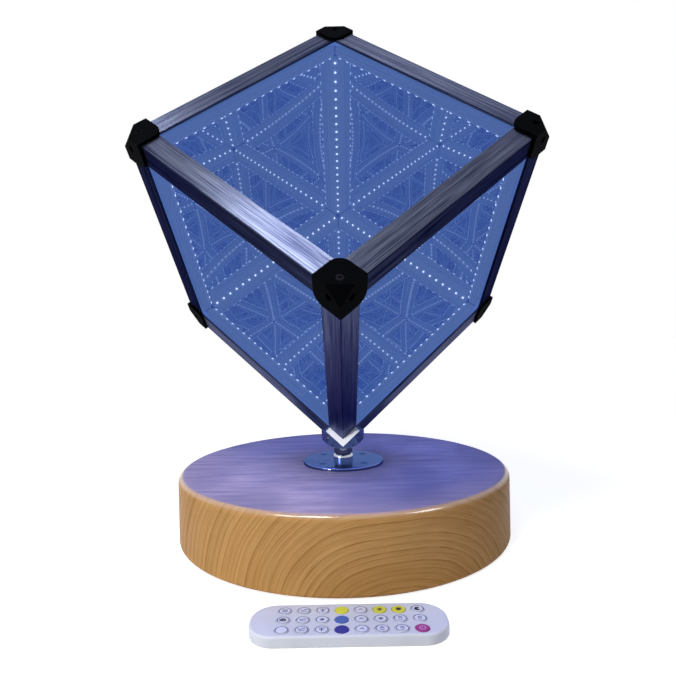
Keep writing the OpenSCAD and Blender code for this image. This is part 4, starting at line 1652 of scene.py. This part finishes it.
@dataclass
class Studio:
    """Pale floor, soft lamps, the cube's own light on the wood, and the camera.

    Fields:
        axes: where the cube stands.
        eye, turn_deg: the camera's place and its turn about x, y and z.
        lens, sensor: its focal length and the width of its picture, in mm.
        floor_half: half the width of the floor.
        floor_near, floor_far: light of its own that the floor shows near the lamp and far from it.
        front_light, back_light: level of the even light from the front and from behind.
        glow, glow_power: colour and power of the light from one side of the cube.
        glow_size, glow_gap: width of that light and its distance from the side.
    """

    axes: CubeAxes
    eye: tuple[float, float, float] = (-0.000411, -0.438256, 0.155233)
    turn_deg: tuple[float, float, float] = (89.52527, 1.18998, 0.23592)
    lens: float = 28.4567
    sensor: float = 36.0
    floor_half: float = 6.0
    floor_near: float = 0.845
    floor_far: float = 0.92
    front_light: float = 0.33
    back_light: float = 0.02
    glow: Rgb = (0.105, 0.21, 1.0)
    glow_power: float = 0.30
    glow_size: float = 0.185
    glow_gap: float = 0.004

    def floor(self) -> None:
        """A level sheet under the lamp that looks white to the camera and keeps the lamp's shadow."""
        h = self.floor_half
        mesh = bpy.data.meshes.new("studio_floor")
        mesh.from_pydata([[-h, -h, 0.0], [h, -h, 0.0], [h, h, 0.0], [-h, h, 0.0]], [], [[0, 1, 2, 3]])
        s = Shader("studio_floor")
        paper = s.mix(s.noise(s.place(), 3.0, 2.0), (0.80, 0.80, 0.80), (0.82, 0.82, 0.82))
        plain = s.node("BsdfDiffuse", {"Color": paper})
        shade = s.node("BsdfDiffuse", {"Color": rgba((0.6, 0.6, 0.6))})
        away = s.dot(s.place(), s.place())
        own = s.ramp(away, 0.3, 2.0, self.floor_near, self.floor_far)
        lit = s.node("Emission", {"Color": rgba(WHITE), "Strength": own})
        white = s.node("AddShader", {0: shade.outputs[0], 1: lit.outputs[0]})
        mesh.materials.append(s.finish(s.blend(s.seen(), plain, white)))
        sheet = bpy.data.objects.new("studio_floor", mesh)
        bpy.context.scene.collection.objects.link(sheet)

    def world(self) -> None:
        """A white backdrop to the camera and in reflections; matt surfaces get its light from the front."""
        s = Shader("studio", world=True)
        depth = s.split(s.node("TexCoord").outputs["Generated"])[1]
        soft = s.ramp(depth, -0.6, 0.6, self.front_light, self.back_light, soft=True)
        seen = s.seen()
        level = s.math("ADD", s.math("MULTIPLY", soft, s.math("SUBTRACT", 1.0, seen)), seen)
        s.finish(s.node("Background", {"Color": rgba(WHITE), "Strength": level}).outputs[0])
        bpy.context.scene.world = s.material

    def lights(self) -> None:
        """A key lamp, a side lamp, two that gleam on the wood's rim, one on the stem, and the cube's glow.

        The glow comes from the cube's three lower sides and turns with it.
        """
        Lamp("key_lamp", (-0.179, -0.358, 0.74), (-0.03, -0.15, 0.20), 3.6, 0.20).hang()
        Lamp("side_lamp", (-1.1, -1.0, 0.24), (0.0, 0.0, 0.06), 8.0, 0.6).hang()
        Lamp("rim_gleam_left", (-0.40, -0.36, 0.74), (-0.03, -0.12, 0.05), 2.2, 0.18).gleam("base_block")
        Lamp("rim_gleam_right", (0.66, -0.36, 0.74), (0.05, -0.12, 0.05), 4.4, 0.28).gleam("base_block")
        Lamp("stem_lamp", (-0.30, -0.36, 0.084), (-0.004, -0.022, 0.072), 11.0, 0.01, cone_deg=6.0).hang()
        for number, inward in enumerate(self.axes.axes().T, 1):
            face = self.axes.middle() - inward * (self.axes.edge / 2 + self.glow_gap)
            glow = Lamp(f"cube_glow_{number}", face, face - inward, self.glow_power, self.glow_size,
                        self.glow).hang()
            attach(glow, "cube")

    def camera(self) -> None:
        """The camera at the photograph's place."""
        data = bpy.data.cameras.new("photo_camera")
        data.sensor_width, data.lens = self.sensor, self.lens
        data.clip_start = 0.01
        camera = bpy.data.objects.new("photo_camera", data)
        bpy.context.scene.collection.objects.link(camera)
        camera.location = self.eye
        camera.rotation_euler = [math.radians(a) for a in self.turn_deg]
        bpy.context.scene.camera = camera

    def build(self) -> None:
        """Sets up the whole studio and how deep light is followed between the mirrors."""
        self.floor()
        self.world()
        self.lights()
        self.camera()
        scene = bpy.context.scene
        scene.view_settings.view_transform = "Standard"
        scene.cycles.max_bounces = 22
        scene.cycles.glossy_bounces = 18
        scene.cycles.transparent_max_bounces = 16
        scene.cycles.caustics_reflective = False
        scene.cycles.caustics_refractive = False


def main() -> None:
    """Builds every sub-assembly in order."""
    logging.basicConfig(level=logging.INFO, format="%(name)s: %(message)s")
    axes = CubeAxes()
    Studio(axes).build()
    CubeFrame(axes).dress()
    LightStrips(axes).build()
    MirrorPanes(axes).build()
    Stem(axes).build()
    CrossScrews().build()
    Base().dress()
    Remote().build()


if __name__ == "__main__":
    main()
